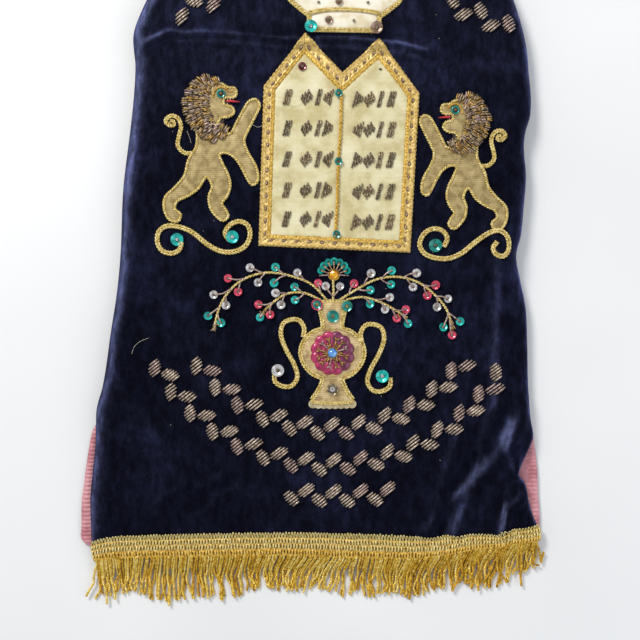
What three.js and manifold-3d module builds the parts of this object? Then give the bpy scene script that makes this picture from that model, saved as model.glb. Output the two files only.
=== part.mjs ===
// A velvet mantle for a pair of scrolls, lying flat on its back with its fringed hem towards -Y.
// Millimetres, +Z up, z = 0 is the surface it lies on. The scroll goes in at the hem, its two
// handles come out at the top. Front and back are joined at the sides down to two open slits.
import * as THREE from 'three';
import { mergeVertices } from 'three/addons/utils/BufferGeometryUtils.js';
import Module from 'manifold-3d';

const wasm = await Module();
wasm.setup();

// Cloth, in millimetres
const VELVET = 2.5;
const LINING = 1.2;
const GAP = 0.3;
const SATIN = 1.2;
const CORD = 2.6;
const BRAID = 1.8;
const PURL = 1.6;
const MANE = 3.6;

// Length of the mantle along Y, and where each side slit ends
const HEM_Y = -226;
const HEM_FADE_Y = -150;
const BACK_HEM_Y = -217;
const TOP_Y = 372;
const SLIT_TOP_Y = -98;
const SLIT_BLEND = 30;

// Height of the mid-plane of the front velvet where it meets what is under it
const SEAM_Z = VELVET + GAP + 0.45;
const SLIT_Z = VELVET + GAP + LINING + GAP + 0.8;
const SIDE_ROLL = 17;

// Side edges of the front, from the hem up, as read off the outline
const LEFT_EDGE = [
  { y: -226, x: -214.5 }, { y: -214, x: -217.5 }, { y: -202, x: -218.4 }, { y: -182, x: -219.2 },
  { y: -168, x: -219.2 }, { y: -144, x: -216.9 }, { y: -120, x: -214.4 }, { y: -96, x: -213.7 },
  { y: -86, x: -213.3 }, { y: -76, x: -211.1 }, { y: -67, x: -208.3 }, { y: -48, x: -204.7 },
  { y: -10, x: -199.3 }, { y: 29, x: -193.4 }, { y: 67, x: -190 }, { y: 106, x: -188.6 },
  { y: 125, x: -187.5 }, { y: 144, x: -185.5 }, { y: 182, x: -180.6 }, { y: 216, x: -177.1 },
  { y: 245, x: -175.8 }, { y: 259, x: -177.4 }, { y: 269, x: -177.8 }, { y: 279, x: -175.8 },
  { y: 298, x: -167.9 }, { y: 307, x: -163.5 }, { y: 320, x: -157 }, { y: 338, x: -147 },
  { y: 354, x: -135 }, { y: 365, x: -123 }, { y: 372, x: -111 },
];
const RIGHT_EDGE = [
  { y: -226, x: 210 }, { y: -214, x: 209.3 }, { y: -202, x: 204.4 }, { y: -180, x: 199.6 },
  { y: -166, x: 196.8 }, { y: -155, x: 194 }, { y: -147.5, x: 188.4 }, { y: -138, x: 192 },
  { y: -124, x: 198.8 }, { y: -111, x: 203.4 }, { y: -92, x: 200.4 }, { y: -60, x: 198.6 },
  { y: -22, x: 197.8 }, { y: 12, x: 196.2 }, { y: 38, x: 190.9 }, { y: 62, x: 187 }, { y: 81, x: 191.6 },
  { y: 106, x: 194 }, { y: 137, x: 196.4 }, { y: 163, x: 194.4 }, { y: 180, x: 195.8 },
  { y: 195, x: 200.2 }, { y: 213, x: 201 }, { y: 235, x: 199 }, { y: 257, x: 197.2 }, { y: 277, x: 192.8 },
  { y: 301, x: 185.3 }, { y: 320, x: 177.2 }, { y: 338, x: 167.5 }, { y: 354, x: 156 }, { y: 365, x: 145 },
  { y: 372, x: 134 },
];

// The back panel reaches further out below the slits
const BACK_LEFT = [
  { y: -217, x: -222.5 }, { y: -211, x: -229.3 }, { y: -200, x: -229.5 }, { y: -173, x: -229.2 },
  { y: -160, x: -227.2 }, { y: -144, x: -225.4 }, { y: -125, x: -222.6 }, { y: -106, x: -218.6 },
  { y: -98, x: -214 },
];
const BACK_RIGHT = [
  { y: -217, x: 203 }, { y: -211, x: 209.5 }, { y: -202, x: 210.8 }, { y: -183, x: 211 },
  { y: -164, x: 209.6 }, { y: -145, x: 209 }, { y: -125, x: 207.2 }, { y: -106, x: 204 },
  { y: -98, x: 201.6 },
];

// How far the hem rises above its left corner, and how high the cloth stands along the mantle
const HEM_RISE = [
  { x: -217, rise: -6.5 }, { x: -208, rise: -3.6 }, { x: -198, rise: -2 }, { x: -178, rise: -1.2 },
  { x: -101, rise: 0 }, { x: -25, rise: 0.8 }, { x: 42, rise: -1.6 }, { x: 90, rise: -2.2 },
  { x: 118, rise: 0.6 }, { x: 148, rise: 6.2 }, { x: 174, rise: 9 }, { x: 182, rise: 11 },
  { x: 196, rise: 12.5 }, { x: 210, rise: 15.5 },
];
const LOFT = [
  { y: -226, z: 13 }, { y: -180, z: 15.5 }, { y: -120, z: 19 }, { y: -40, z: 22.5 }, { y: 60, z: 25 },
  { y: 180, z: 27 }, { y: 262, z: 28 }, { y: 276, z: 30.5 }, { y: 320, z: 32 }, { y: 372, z: 33 },
];

// Soft ridges and troughs that the cloth has taken, as centre lines with a height and half width
const FOLDS = [
  { height: 4.5, width: 6, path: [[-174, 257], [-155, 265], [-142, 272], [-128, 270], [-108, 272], [-61, 269],
    [-38, 271], [0, 269], [27, 266], [56, 266], [75, 258], [98, 252]] },
  { height: 4, width: 8, path: [[173, 60], [174, 3], [173, -65], [170, -82], [164, -103], [158, -118]] },
  { height: -3.5, width: 10, path: [[173, -95], [161, -119], [145, -148], [127, -167], [125, -199]] },
  { height: 5, width: 6.5, path: [[202, -74], [187, -111], [183, -121], [188, -133], [193, -143]] },
  { height: 4.5, width: 6.5, path: [[200, -157], [193, -168], [184, -178], [180, -198], [178, -218]] },
  { height: 5, width: 9, path: [[178, -128], [169, -141], [149, -162], [143, -174], [132, -197]] },
  { height: 3, width: 8, path: [[125, -146], [117, -182], [104, -205]] },
  { height: 2.5, width: 10, path: [[205, 192], [186, 184], [160, 183]] },
  { height: 2.5, width: 9, path: [[195, 62], [180, 66], [166, 80]] },
  { height: 2, width: 14, path: [[-196, -20], [-180, -60], [-150, -105]] },
];
const WAVES = [
  { height: 0.9, along: 58, across: 71, shift: 0.6 },
  { height: 0.6, along: 33, across: -47, shift: 2.1 },
];

// Lines of the cloth grid: bands of rows along Y, and columns across as shares of the half width
const ROW_BANDS = [
  { to: -114, rows: 11 }, { to: -24, rows: 5 }, { to: 235, rows: 12 }, { to: 290, rows: 9 },
  { to: 348, rows: 4 }, { to: 366, rows: 3 }, { to: 372, rows: 2 },
];
const COLUMNS = [-1, -0.99, -0.965, -0.925, -0.85, -0.7, -0.5, -0.3, -0.1, 0.1, 0.25, 0.4, 0.5, 0.58, 0.66,
  0.73, 0.79, 0.84, 0.885, 0.925, 0.965, 0.99, 1];

// Colours
const NAVY = 0x14152e;
const PINK = 0xb06a72;
const GOLD = 0xc79a2e;
const PALE_GOLD = 0xd6b65c;
const CREAM = 0xe4dcb4;
const LAME = 0x9a8a5c;
const OLD_SILVER = 0x8f8078;
const MAGENTA = 0xb02a5c;

// Value of a table's column at a place, on a smooth curve through its rows
function follow(rows, key, column, at) {
  const last = rows.length - 1;
  if (at <= rows[0][key]) return rows[0][column];
  if (at >= rows[last][key]) return rows[last][column];
  const i = rows.findIndex((row) => row[key] > at) - 1;
  const slope = (k) => {
    const a = rows[Math.max(0, k - 1)];
    const b = rows[Math.min(last, k + 1)];
    return (b[column] - a[column]) / (b[key] - a[key]);
  };
  const span = rows[i + 1][key] - rows[i][key];
  const t = (at - rows[i][key]) / span;
  const h00 = (1 + 2 * t) * (1 - t) ** 2;
  const h01 = t * t * (3 - 2 * t);
  const h10 = t * (1 - t) ** 2;
  const h11 = t * t * (t - 1);
  return h00 * rows[i][column] + h01 * rows[i + 1][column] + span * (h10 * slope(i) + h11 * slope(i + 1));
}

function smooth(from, to, at) {
  const t = Math.min(1, Math.max(0, (at - from) / (to - from)));
  return t * t * (3 - 2 * t);
}

function distanceToPath(path, x, y) {
  let nearest = Infinity;
  for (let i = 0; i + 1 < path.length; i += 1) {
    const [ax, ay] = path[i];
    const dx = path[i + 1][0] - ax;
    const dy = path[i + 1][1] - ay;
    const t = Math.min(1, Math.max(0, ((x - ax) * dx + (y - ay) * dy) / (dx * dx + dy * dy)));
    nearest = Math.min(nearest, Math.hypot(x - ax - t * dx, y - ay - t * dy));
  }
  return nearest;
}

// Mid-plane of the front velvet at share u across the mantle and nominal length v
function frontPoint(u, v) {
  const left = follow(LEFT_EDGE, 'y', 'x', v);
  const right = follow(RIGHT_EDGE, 'y', 'x', v);
  const x = left + ((right - left) * (u + 1)) / 2;
  const y = v + follow(HEM_RISE, 'x', 'rise', x) * (1 - smooth(HEM_Y, HEM_FADE_Y, v));
  const edge = u < 0 ? LEFT_EDGE : RIGHT_EDGE;
  const lean = (follow(edge, 'y', 'x', v + 2) - follow(edge, 'y', 'x', v - 2)) / 4;
  const inward = Math.max(0, Math.min(x - left, right - x)) / Math.hypot(1, lean);
  const roll = Math.sqrt(1 - (1 - Math.min(1, inward / SIDE_ROLL)) ** 2);
  const slit = 1 - smooth(SLIT_TOP_Y + 2, SLIT_TOP_Y + SLIT_BLEND, v);
  const foot = SEAM_Z + (SLIT_Z - SEAM_Z) * slit;
  let relief = 0;
  for (const fold of FOLDS) {
    const held = fold.height > 0 ? Math.max(roll, slit) : roll;
    relief += held * fold.height * Math.exp(-((distanceToPath(fold.path, x, y) / fold.width) ** 2));
  }
  for (const wave of WAVES) {
    relief += roll * wave.height * Math.sin(x / wave.across + wave.shift) * Math.cos(y / wave.along);
  }
  return new THREE.Vector3(x, y, foot + (follow(LOFT, 'y', 'z', v) - foot) * roll + relief);
}

function rowLines() {
  const lines = [HEM_Y];
  for (const band of ROW_BANDS) {
    const start = lines[lines.length - 1];
    for (let i = 1; i <= band.rows; i += 1) lines.push(start + ((band.to - start) * i) / band.rows);
  }
  return lines;
}

const ROWS = rowLines();
const frontGrid = ROWS.map((v) => COLUMNS.map((u) => frontPoint(u, v)));

// Which way each cell is split into two triangles: the way that lies nearer the cloth at its middle
const frontSplit = ROWS.slice(1).map((high, j) => COLUMNS.slice(1).map((right, i) => {
  const middle = frontPoint((COLUMNS[i] + right) / 2, (ROWS[j] + high) / 2).z;
  const rising = (frontGrid[j][i].z + frontGrid[j + 1][i + 1].z) / 2;
  const falling = (frontGrid[j][i + 1].z + frontGrid[j + 1][i].z) / 2;
  return Math.abs(falling - middle) < Math.abs(rising - middle);
}));

// Outward direction at each point of a grid, from its neighbours
function gridNormals(grid) {
  return grid.map((row, j) => row.map((_, i) => {
    const across = grid[j][Math.min(row.length - 1, i + 1)].clone().sub(grid[j][Math.max(0, i - 1)]);
    const along = grid[Math.min(grid.length - 1, j + 1)][i].clone().sub(grid[Math.max(0, j - 1)][i]);
    return across.cross(along).normalize();
  }));
}

// Closed sheet between two copies of a grid, moved out along its normals to low and to high
function sheet(grid, low, high, split) {
  const normals = gridNormals(grid);
  const rows = grid.length;
  const columns = grid[0].length;
  const positions = [];
  for (const offset of [low, high]) {
    grid.forEach((row, j) => row.forEach((point, i) => {
      positions.push(...point.clone().addScaledVector(normals[j][i], offset));
    }));
  }
  const at = (side, j, i) => side * rows * columns + j * columns + i;
  const faces = [];
  const quad = (a, b, c, d, other = false) => {
    if (other) faces.push(a, b, d, b, c, d);
    else faces.push(a, b, c, a, c, d);
  };
  for (let j = 0; j + 1 < rows; j += 1) {
    for (let i = 0; i + 1 < columns; i += 1) {
      const other = split ? split[j][i] : false;
      quad(at(1, j, i), at(1, j, i + 1), at(1, j + 1, i + 1), at(1, j + 1, i), other);
      quad(at(0, j, i), at(0, j + 1, i), at(0, j + 1, i + 1), at(0, j, i + 1), other);
    }
  }
  for (let i = 0; i + 1 < columns; i += 1) {
    quad(at(0, 0, i), at(0, 0, i + 1), at(1, 0, i + 1), at(1, 0, i));
    quad(at(0, rows - 1, i + 1), at(0, rows - 1, i), at(1, rows - 1, i), at(1, rows - 1, i + 1));
  }
  for (let j = 0; j + 1 < rows; j += 1) {
    quad(at(0, j + 1, 0), at(0, j, 0), at(1, j, 0), at(1, j + 1, 0));
    quad(at(0, j, columns - 1), at(0, j + 1, columns - 1), at(1, j + 1, columns - 1), at(1, j, columns - 1));
  }
  const geometry = new THREE.BufferGeometry();
  geometry.setAttribute('position', new THREE.Float32BufferAttribute(positions, 3));
  geometry.setIndex(faces);
  return geometry;
}

// Joining and cutting
function toSolid(geometry) {
  const bare = geometry.clone();
  bare.deleteAttribute('normal');
  bare.deleteAttribute('uv');
  const merged = mergeVertices(bare, 1e-4);
  return new wasm.Manifold(new wasm.Mesh({
    numProp: 3,
    vertProperties: new Float32Array(merged.attributes.position.array),
    triVerts: new Uint32Array(merged.index.array),
  }));
}

function toGeometry(solid) {
  const mesh = solid.getMesh();
  const geometry = new THREE.BufferGeometry();
  geometry.setAttribute('position', new THREE.Float32BufferAttribute(mesh.vertProperties, 3));
  geometry.setIndex(Array.from(mesh.triVerts));
  return geometry;
}

// Upright block over a plan outline, tall enough to cut any layer of the mantle
const CUTTER_HEIGHT = 90;
function column(outline, height = CUTTER_HEIGHT) {
  const shape = new THREE.Shape(outline.map(([x, y]) => new THREE.Vector2(x, y)));
  const block = new THREE.ExtrudeGeometry(shape, { depth: height, bevelEnabled: false });
  return toSolid(block);
}

// What is sewn on the front is cut from a thin layer that follows the velvet
const layers = new Map();
function layer(thickness) {
  if (!layers.has(thickness)) {
    const foot = VELVET / 2 + GAP;
    layers.set(thickness, toSolid(sheet(frontGrid, foot, foot + thickness, frontSplit)));
  }
  return layers.get(thickness);
}

function sewnOn(thickness, cutter) {
  return toGeometry(layer(thickness).intersect(cutter));
}

// Curves in plan
function curve(points, closed = false, perPoint = 3) {
  const knots = points.map(([x, y]) => new THREE.Vector3(x, y, 0));
  const line = new THREE.CatmullRomCurve3(knots, closed, 'centripetal');
  const count = perPoint * (closed ? points.length : points.length - 1);
  const samples = line.getPoints(count).map((p) => [p.x, p.y]);
  return closed ? samples.slice(0, -1) : samples;
}

function oval(x, y, across, along, steps) {
  return Array.from({ length: steps }, (_, i) => {
    const a = (i / steps) * Math.PI * 2;
    return [x + (across / 2) * Math.cos(a), y + (along / 2) * Math.sin(a)];
  });
}

// Outline of a cord of one width along an open line
function ribbon(line, width) {
  const sides = [[], []];
  line.forEach(([x, y], i) => {
    const [ax, ay] = line[Math.max(0, i - 1)];
    const [bx, by] = line[Math.min(line.length - 1, i + 1)];
    const length = Math.hypot(bx - ax, by - ay);
    const nx = (-(by - ay) / length) * (width / 2);
    const ny = ((bx - ax) / length) * (width / 2);
    sides[0].push([x - nx, y - ny]);
    sides[1].push([x + nx, y + ny]);
  });
  return [...sides[0], ...sides[1].reverse()];
}

// The same outline moved out by a distance, or in where that is negative
function grown(loop, by) {
  const flat = loop.map(([x, y]) => new THREE.Vector2(x, y));
  const outline = THREE.ShapeUtils.isClockWise(flat) ? [...loop].reverse() : loop;
  return outline.map(([x, y], i) => {
    const [ax, ay] = outline[(i + outline.length - 1) % outline.length];
    const [bx, by2] = outline[(i + 1) % outline.length];
    const back = new THREE.Vector2(x - ax, y - ay).normalize();
    const ahead = new THREE.Vector2(bx - x, by2 - y).normalize();
    const out = new THREE.Vector2(back.y + ahead.y, -back.x - ahead.x).normalize();
    const miter = Math.max(0.5, out.dot(new THREE.Vector2(ahead.y, -ahead.x)));
    return [x + (out.x * by) / miter, y + (out.y * by) / miter];
  });
}

// Moves a motif's own points to its place on the front: scaled or mirrored, turned and shifted
function placed(points, { x, y, turn = 0, across = 1, along = 1 }) {
  const angle = (turn * Math.PI) / 180;
  return points.map(([px, py]) => {
    const sx = px * across;
    const sy = py * along;
    return [x + sx * Math.cos(angle) - sy * Math.sin(angle), y + sx * Math.sin(angle) + sy * Math.cos(angle)];
  });
}

const parts = new THREE.Group();
function add(name, geometry, color, roughness = 0.8, metalness = 0) {
  geometry.computeVertexNormals();
  const mesh = new THREE.Mesh(geometry, new THREE.MeshStandardMaterial({ color, roughness, metalness }));
  mesh.name = name;
  parts.add(mesh);
}

// Front velvet
add('front_panel', sheet(frontGrid, -VELVET / 2, VELVET / 2, frontSplit), NAVY);

// Back velvet and the lining over it
function backOutline(inset, hemY, topY) {
  const corner = 3.5;
  const step = 18;
  const from = hemY + 2 * corner;
  const count = Math.round((topY - from) / step);
  const levels = [hemY, hemY + corner];
  for (let i = 0; i <= count; i += 1) levels.push(from + ((topY - from) * i) / count);
  const sides = [
    { free: BACK_LEFT, sewn: LEFT_EDGE, way: -1 },
    { free: BACK_RIGHT, sewn: RIGHT_EDGE, way: 1 },
  ].map(({ free, sewn, way }) => levels.map((y) => {
    const edge = follow(sewn, 'y', 'x', y);
    const x = y < SLIT_TOP_Y ? Math.max(way * follow(free, 'y', 'x', y), way * edge) : way * edge;
    return [way * (x - inset(y)), y];
  }));
  return [...sides[1], ...sides[0].reverse()];
}

function slab(outline, bottom, thickness) {
  const shape = new THREE.Shape(outline.map(([x, y]) => new THREE.Vector2(x, y)));
  return new THREE.ExtrudeGeometry(shape, { depth: thickness, bevelEnabled: false }).translate(0, 0, bottom);
}

const LINING_HEM_INSET = 1.2;
const LINING_SEAM_INSET = 14;
const liningInset = (y) => LINING_HEM_INSET + (LINING_SEAM_INSET - LINING_HEM_INSET)
  * smooth(SLIT_TOP_Y - 6, SLIT_TOP_Y + 8, y);
add('back_panel', slab(backOutline(() => 0, BACK_HEM_Y, TOP_Y), 0, VELVET), NAVY);
add('lining', slab(
  backOutline(liningInset, BACK_HEM_Y + LINING_HEM_INSET, TOP_Y - LINING_SEAM_INSET),
  VELVET + GAP,
  LINING,
), PINK, 0.85);

// Top piece: stands between front and back, with an oval opening for each handle
const TOP_PIECE_Y = TOP_Y - 4.5;
const TOP_PIECE_INSET = 4;
const HANDLE_SPACING = 140;
const HANDLE_OPENING = { width: 56, height: 17, z: 15.5 };
function lowest(solid) {
  return solid.decompose().sort((a, b) => a.boundingBox().min[2] - b.boundingBox().min[2])[0];
}
function topPiece() {
  const from = follow(LEFT_EDGE, 'y', 'x', TOP_PIECE_Y + VELVET) + TOP_PIECE_INSET;
  const to = follow(RIGHT_EDGE, 'y', 'x', TOP_PIECE_Y + VELVET) - TOP_PIECE_INSET;
  const foot = VELVET + GAP;
  const stand = (outline) => toSolid(toGeometry(column(outline, VELVET))
    .rotateX(Math.PI / 2).translate(0, TOP_PIECE_Y + VELVET, 0));
  const block = stand([[from, foot], [to, foot], [to, CUTTER_HEIGHT], [from, CUTTER_HEIGHT]]);
  const above = toSolid(sheet(frontGrid, -VELVET / 2 - 2 * GAP, VELVET / 2, frontSplit));
  let plate = lowest(block.subtract(above));
  for (const side of [-1, 1]) {
    const x = (from + to) / 2 + (side * HANDLE_SPACING) / 2;
    plate = plate.subtract(stand(oval(x, HANDLE_OPENING.z, HANDLE_OPENING.width, HANDLE_OPENING.height, 20)));
  }
  return toGeometry(plate);
}
add('top_piece', topPiece(), NAVY);

// Fringe and its heading
const HEADING_INSET = 0.5;
const HEADING_WIDTH = [
  { x: -217, width: 18.6 }, { x: -204, width: 21 }, { x: -185, width: 22.5 }, { x: -25, width: 24 },
  { x: 60, width: 24 }, { x: 100, width: 22.5 }, { x: 118, width: 20.5 }, { x: 148, width: 18.4 },
  { x: 166, width: 15.5 }, { x: 175, width: 14.5 }, { x: 182, width: 18.5 }, { x: 196, width: 18 },
  { x: 210, width: 17 },
];
const hemLine = COLUMNS.map((u) => frontPoint(u, HEM_Y));
function headingOutline() {
  const inner = hemLine.slice(1, -1);
  const low = inner.map((p) => [p.x, p.y + HEADING_INSET]);
  const high = inner.map((p) => [p.x, p.y + follow(HEADING_WIDTH, 'x', 'width', p.x)]);
  return [...low, ...high.reverse()];
}
add('hem_braid', sewnOn(BRAID, column(headingOutline())), PALE_GOLD, 0.45, 0.4);

const STRANDS = 112;
const STRAND = { width: 2.2, height: 1.9, floor: 0.3 };
const STRIP = { from: 0.5, to: 3.6, thickness: 3 };

// How the strands lie from the left end of the hem to the right: how far each one leans halfway
// and at its tip, and how far it reaches from the hem
const STRAND_LIE = [
  { share: 0, half: -0.5, tip: -1, reach: 36 }, { share: 0.04, half: -0.5, tip: 0, reach: 36 },
  { share: 0.07, half: -2, tip: -3, reach: 33 }, { share: 0.12, half: -4.5, tip: -7, reach: 38 },
  { share: 0.155, half: -3, tip: -4, reach: 45 }, { share: 0.2, half: -3, tip: -2.5, reach: 42 },
  { share: 0.265, half: -3.5, tip: -1, reach: 41 }, { share: 0.32, half: -4, tip: 0, reach: 39 },
  { share: 0.365, half: -5.5, tip: -2, reach: 33 }, { share: 0.43, half: -8, tip: -7.5, reach: 35 },
  { share: 0.5, half: -10, tip: -12.5, reach: 33 }, { share: 0.55, half: -9, tip: -13, reach: 34 },
  { share: 0.61, half: -2.5, tip: -1, reach: 37 }, { share: 0.65, half: -3.5, tip: -3, reach: 36 },
  { share: 0.68, half: -5, tip: -4, reach: 34 }, { share: 0.74, half: -8, tip: -8.5, reach: 39 },
  { share: 0.78, half: -8, tip: -7, reach: 35 }, { share: 0.84, half: -7, tip: -7, reach: 33 },
  { share: 0.91, half: -9, tip: -12.5, reach: 40 }, { share: 0.95, half: -7, tip: -9, reach: 38 },
  { share: 1, half: -1.5, tip: -2, reach: 24 },
];

// One strand, with a flat underside and a ridge: out of the strip, down to the surface, level along it
function strand(root, share) {
  const { width, height, floor } = STRAND;
  const half = follow(STRAND_LIE, 'share', 'half', share);
  const tip = follow(STRAND_LIE, 'share', 'tip', share);
  const reach = follow(STRAND_LIE, 'share', 'reach', share);
  const low = root.z - height / 2;
  const drop = Math.max(0, low - floor);
  const stations = [
    { out: 1.8, z: low, lean: 0, full: 1 },
    { out: 9, z: floor + drop * 0.62, lean: half * 0.55, full: 1 },
    { out: 21, z: floor, lean: half, full: 1 },
    { out: reach, z: floor, lean: tip, full: 0.8 },
  ];
  const positions = [];
  for (const s of stations) {
    const x = root.x + s.lean;
    const y = root.y - s.out;
    const w = (width / 2) * s.full;
    positions.push(x - w, y, s.z, x + w, y, s.z, x, y, s.z + height * s.full);
  }
  const sides = 3;
  const end = (stations.length - 1) * sides;
  const faces = [0, 2, 1, end, end + 1, end + 2];
  for (let s = 0; s + 1 < stations.length; s += 1) {
    for (let k = 0; k < sides; k += 1) {
      const a = s * sides + k;
      const b = s * sides + ((k + 1) % sides);
      faces.push(a, b + sides, a + sides, a, b, b + sides);
    }
  }
  const geometry = new THREE.BufferGeometry();
  geometry.setAttribute('position', new THREE.Float32BufferAttribute(positions, 3));
  geometry.setIndex(faces);
  return toSolid(geometry);
}

function hemPoint(share) {
  const p = frontPoint(-0.985 + 1.97 * share, HEM_Y);
  const i = Math.max(1, hemLine.findIndex((q) => q.x > p.x));
  const a = hemLine[i - 1];
  const b = hemLine[i];
  return a.clone().lerp(b, (p.x - a.x) / (b.x - a.x));
}

function fringe() {
  const strip = [STRIP.to, STRIP.from].map((out) => hemLine.slice(1, -1).map((p) => (
    new THREE.Vector3(p.x, p.y - out, p.z))));
  let solid = toSolid(sheet(strip, -STRIP.thickness / 2, STRIP.thickness / 2));
  for (let i = 0; i < STRANDS; i += 1) {
    const share = i / (STRANDS - 1);
    solid = solid.add(strand(hemPoint(share), share));
  }
  return toGeometry(solid);
}
add('fringe', fringe(), GOLD, 0.5, 0.4);

// The twin tablets: satin with a braid around it and a cord between the two
const TABLETS = { x: 17, y: 143, turn: -2.6 };
const TABLET = {
  footHalf: 71.3, shoulderHalf: 73, foot: -76.6, shoulder: 73, peak: 124, valley: 89, braid: 11,
};
function gabled(inset) {
  const { footHalf, shoulderHalf, foot, shoulder, peak, valley } = TABLET;
  const slope = (peak - shoulder) / (shoulderHalf / 2);
  const drop = inset * (Math.hypot(1, slope) - slope);
  const gable = inset * Math.hypot(1, slope);
  const ridge = shoulderHalf / 2;
  return [
    [-footHalf + inset, foot + inset], [footHalf - inset, foot + inset],
    [shoulderHalf - inset, shoulder - drop], [ridge, peak - gable], [0, valley - gable],
    [-ridge, peak - gable], [-shoulderHalf + inset, shoulder - drop],
  ];
}
const tabletBlock = (inset) => column(placed(gabled(inset), TABLETS));
const DIVIDER = { from: TABLET.foot + TABLET.braid + 1.6, to: TABLET.valley - 25, width: 3.6 };
function divider(grow) {
  const line = placed([[0, DIVIDER.from - grow], [0, 0], [0, DIVIDER.to + grow]], TABLETS);
  return column(ribbon(line, DIVIDER.width + 2 * grow));
}
add('tablets_satin', sewnOn(SATIN, tabletBlock(TABLET.braid + GAP).subtract(divider(GAP))), CREAM, 0.5);
add('tablets_braid', sewnOn(BRAID, tabletBlock(0).subtract(tabletBlock(TABLET.braid))), PALE_GOLD, 0.45, 0.4);
add('tablets_cord', sewnOn(CORD, divider(0)), GOLD, 0.45, 0.4);

// The crown: satin with a cord around it and along its band
const CROWN = { x: 22.4, y: 271.9, turn: -1.1 };
const CROWN_CORD = 3.4;
const crownHalf = [[31, 0], [31, 12], [38, 17], [49, 26], [56, 38], [49, 40], [40, 37], [37, 53], [28, 45],
  [17, 46], [9, 60]];
const crownOutline = [...crownHalf, [0, 67], ...crownHalf.map(([x, y]) => [-x, y]).reverse()];
const crownBlock = (by) => column(placed(grown(crownOutline, by), CROWN));
const crownBand = placed([[-40, 13], [-20, 16.2], [0, 17.5], [20, 16.4], [40, 13.5]], CROWN);
const crownCordBlock = crownBlock(CROWN_CORD).subtract(crownBlock(0))
  .add(column(ribbon(crownBand, CROWN_CORD)).intersect(crownBlock(1)));
add('crown_cord', sewnOn(CORD, crownCordBlock), PALE_GOLD, 0.45, 0.4);
const crownFields = crownBlock(-GAP).subtract(column(ribbon(crownBand, CROWN_CORD + 2 * GAP)));
const crownPieces = crownFields.decompose();
const [crownLow, crownHigh] = crownPieces.sort((a, b) => a.boundingBox().min[1] - b.boundingBox().min[1]);
add('crown_band', sewnOn(SATIN, crownLow), CREAM, 0.5);
add('crown_satin', sewnOn(SATIN, crownHigh), CREAM, 0.5);

// A rampant lion in its own frame, facing +X, standing on a scroll
const LION_PLACES = [
  { name: 'left', x: -99, y: 160, across: 1, along: 1 },
  { name: 'right', x: 132.4, y: 148.1, across: -0.905, along: 0.936 },
];
const lionBody = [
  [-18, 26], [0, 26], [14, 14], [21, 25], [27, 36], [33, 45], [39, 46.5], [42.5, 41], [39, 32], [33, 20],
  [28, 8], [32, -4], [38, -14], [41, -24], [40, -31], [35.5, -33.5], [31, -28], [26, -18], [19, -8],
  [11, -3.5], [5, -5], [8, -14], [13, -24], [15, -34], [12, -44], [7, -51], [11, -57], [13, -63], [8, -67],
  [1, -62], [-4, -54], [-5, -44], [-2, -35], [-7, -26], [-15, -37], [-25, -44], [-35, -49], [-37, -56],
  [-31.5, -61], [-34, -67.5], [-42, -66], [-47, -56], [-46, -45], [-37, -36], [-28, -25], [-24, -10],
  [-17, 2], [-16, 14],
];
const lionFace = [
  [-6, 56], [0, 61], [7, 61], [13, 57.5], [19, 57], [21, 52], [18, 47.5], [10, 46.5], [10.5, 42.5], [17, 40],
  [18.5, 34], [13, 30], [6, 29], [2, 22], [-5, 32],
];
const lionTail = [[-20, -4], [-28, -3.5], [-34, 3], [-33, 12], [-31, 21], [-34, 29], [-41, 31], [-45.5, 26],
  [-41, 21.5]];
const lionScrolls = {
  left: [
    [-31, -87], [-33, -94], [-40, -97.5], [-49, -95], [-53.5, -87], [-52, -77], [-45, -72], [-34, -72.5],
    [-22, -77], [-6, -89.5], [6, -95.5], [18, -96], [29, -90.5], [33.5, -80], [31, -71], [23, -67.5],
    [14, -71.5], [10, -79], [14, -85],
  ],
  right: [
    [-37, -80], [-33, -86], [-36, -92.5], [-43, -94.5], [-49, -87], [-47.5, -75], [-40, -69], [-30, -70.5],
    [-15, -80], [0, -91.5], [13, -96.5], [27, -96], [38, -91.5], [43, -83], [39, -72.5], [30, -67],
    [20, -68.5], [14.5, -76], [18, -85],
  ],
};
const SCROLL_WIDTH = 4.8;
const TAIL_WIDTH = 4.2;

// The mane is a lumpy egg that leaves the face free
const MANE_EGG = { x: -8, y: 40, across: 20, along: 29, lump: 1.8, lumps: 11 };
function maneOutline(grow) {
  const { x, y, across, along, lump, lumps } = MANE_EGG;
  const outline = [];
  const steps = 36;
  for (let i = 0; i < steps; i += 1) {
    const a = (i / steps) * Math.PI * 2;
    const r = 1 + (lump * Math.abs(Math.sin((a * lumps) / 2)) + grow) / across;
    outline.push([x + across * r * Math.cos(a), y + along * r * Math.sin(a)]);
  }
  return outline;
}

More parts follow.
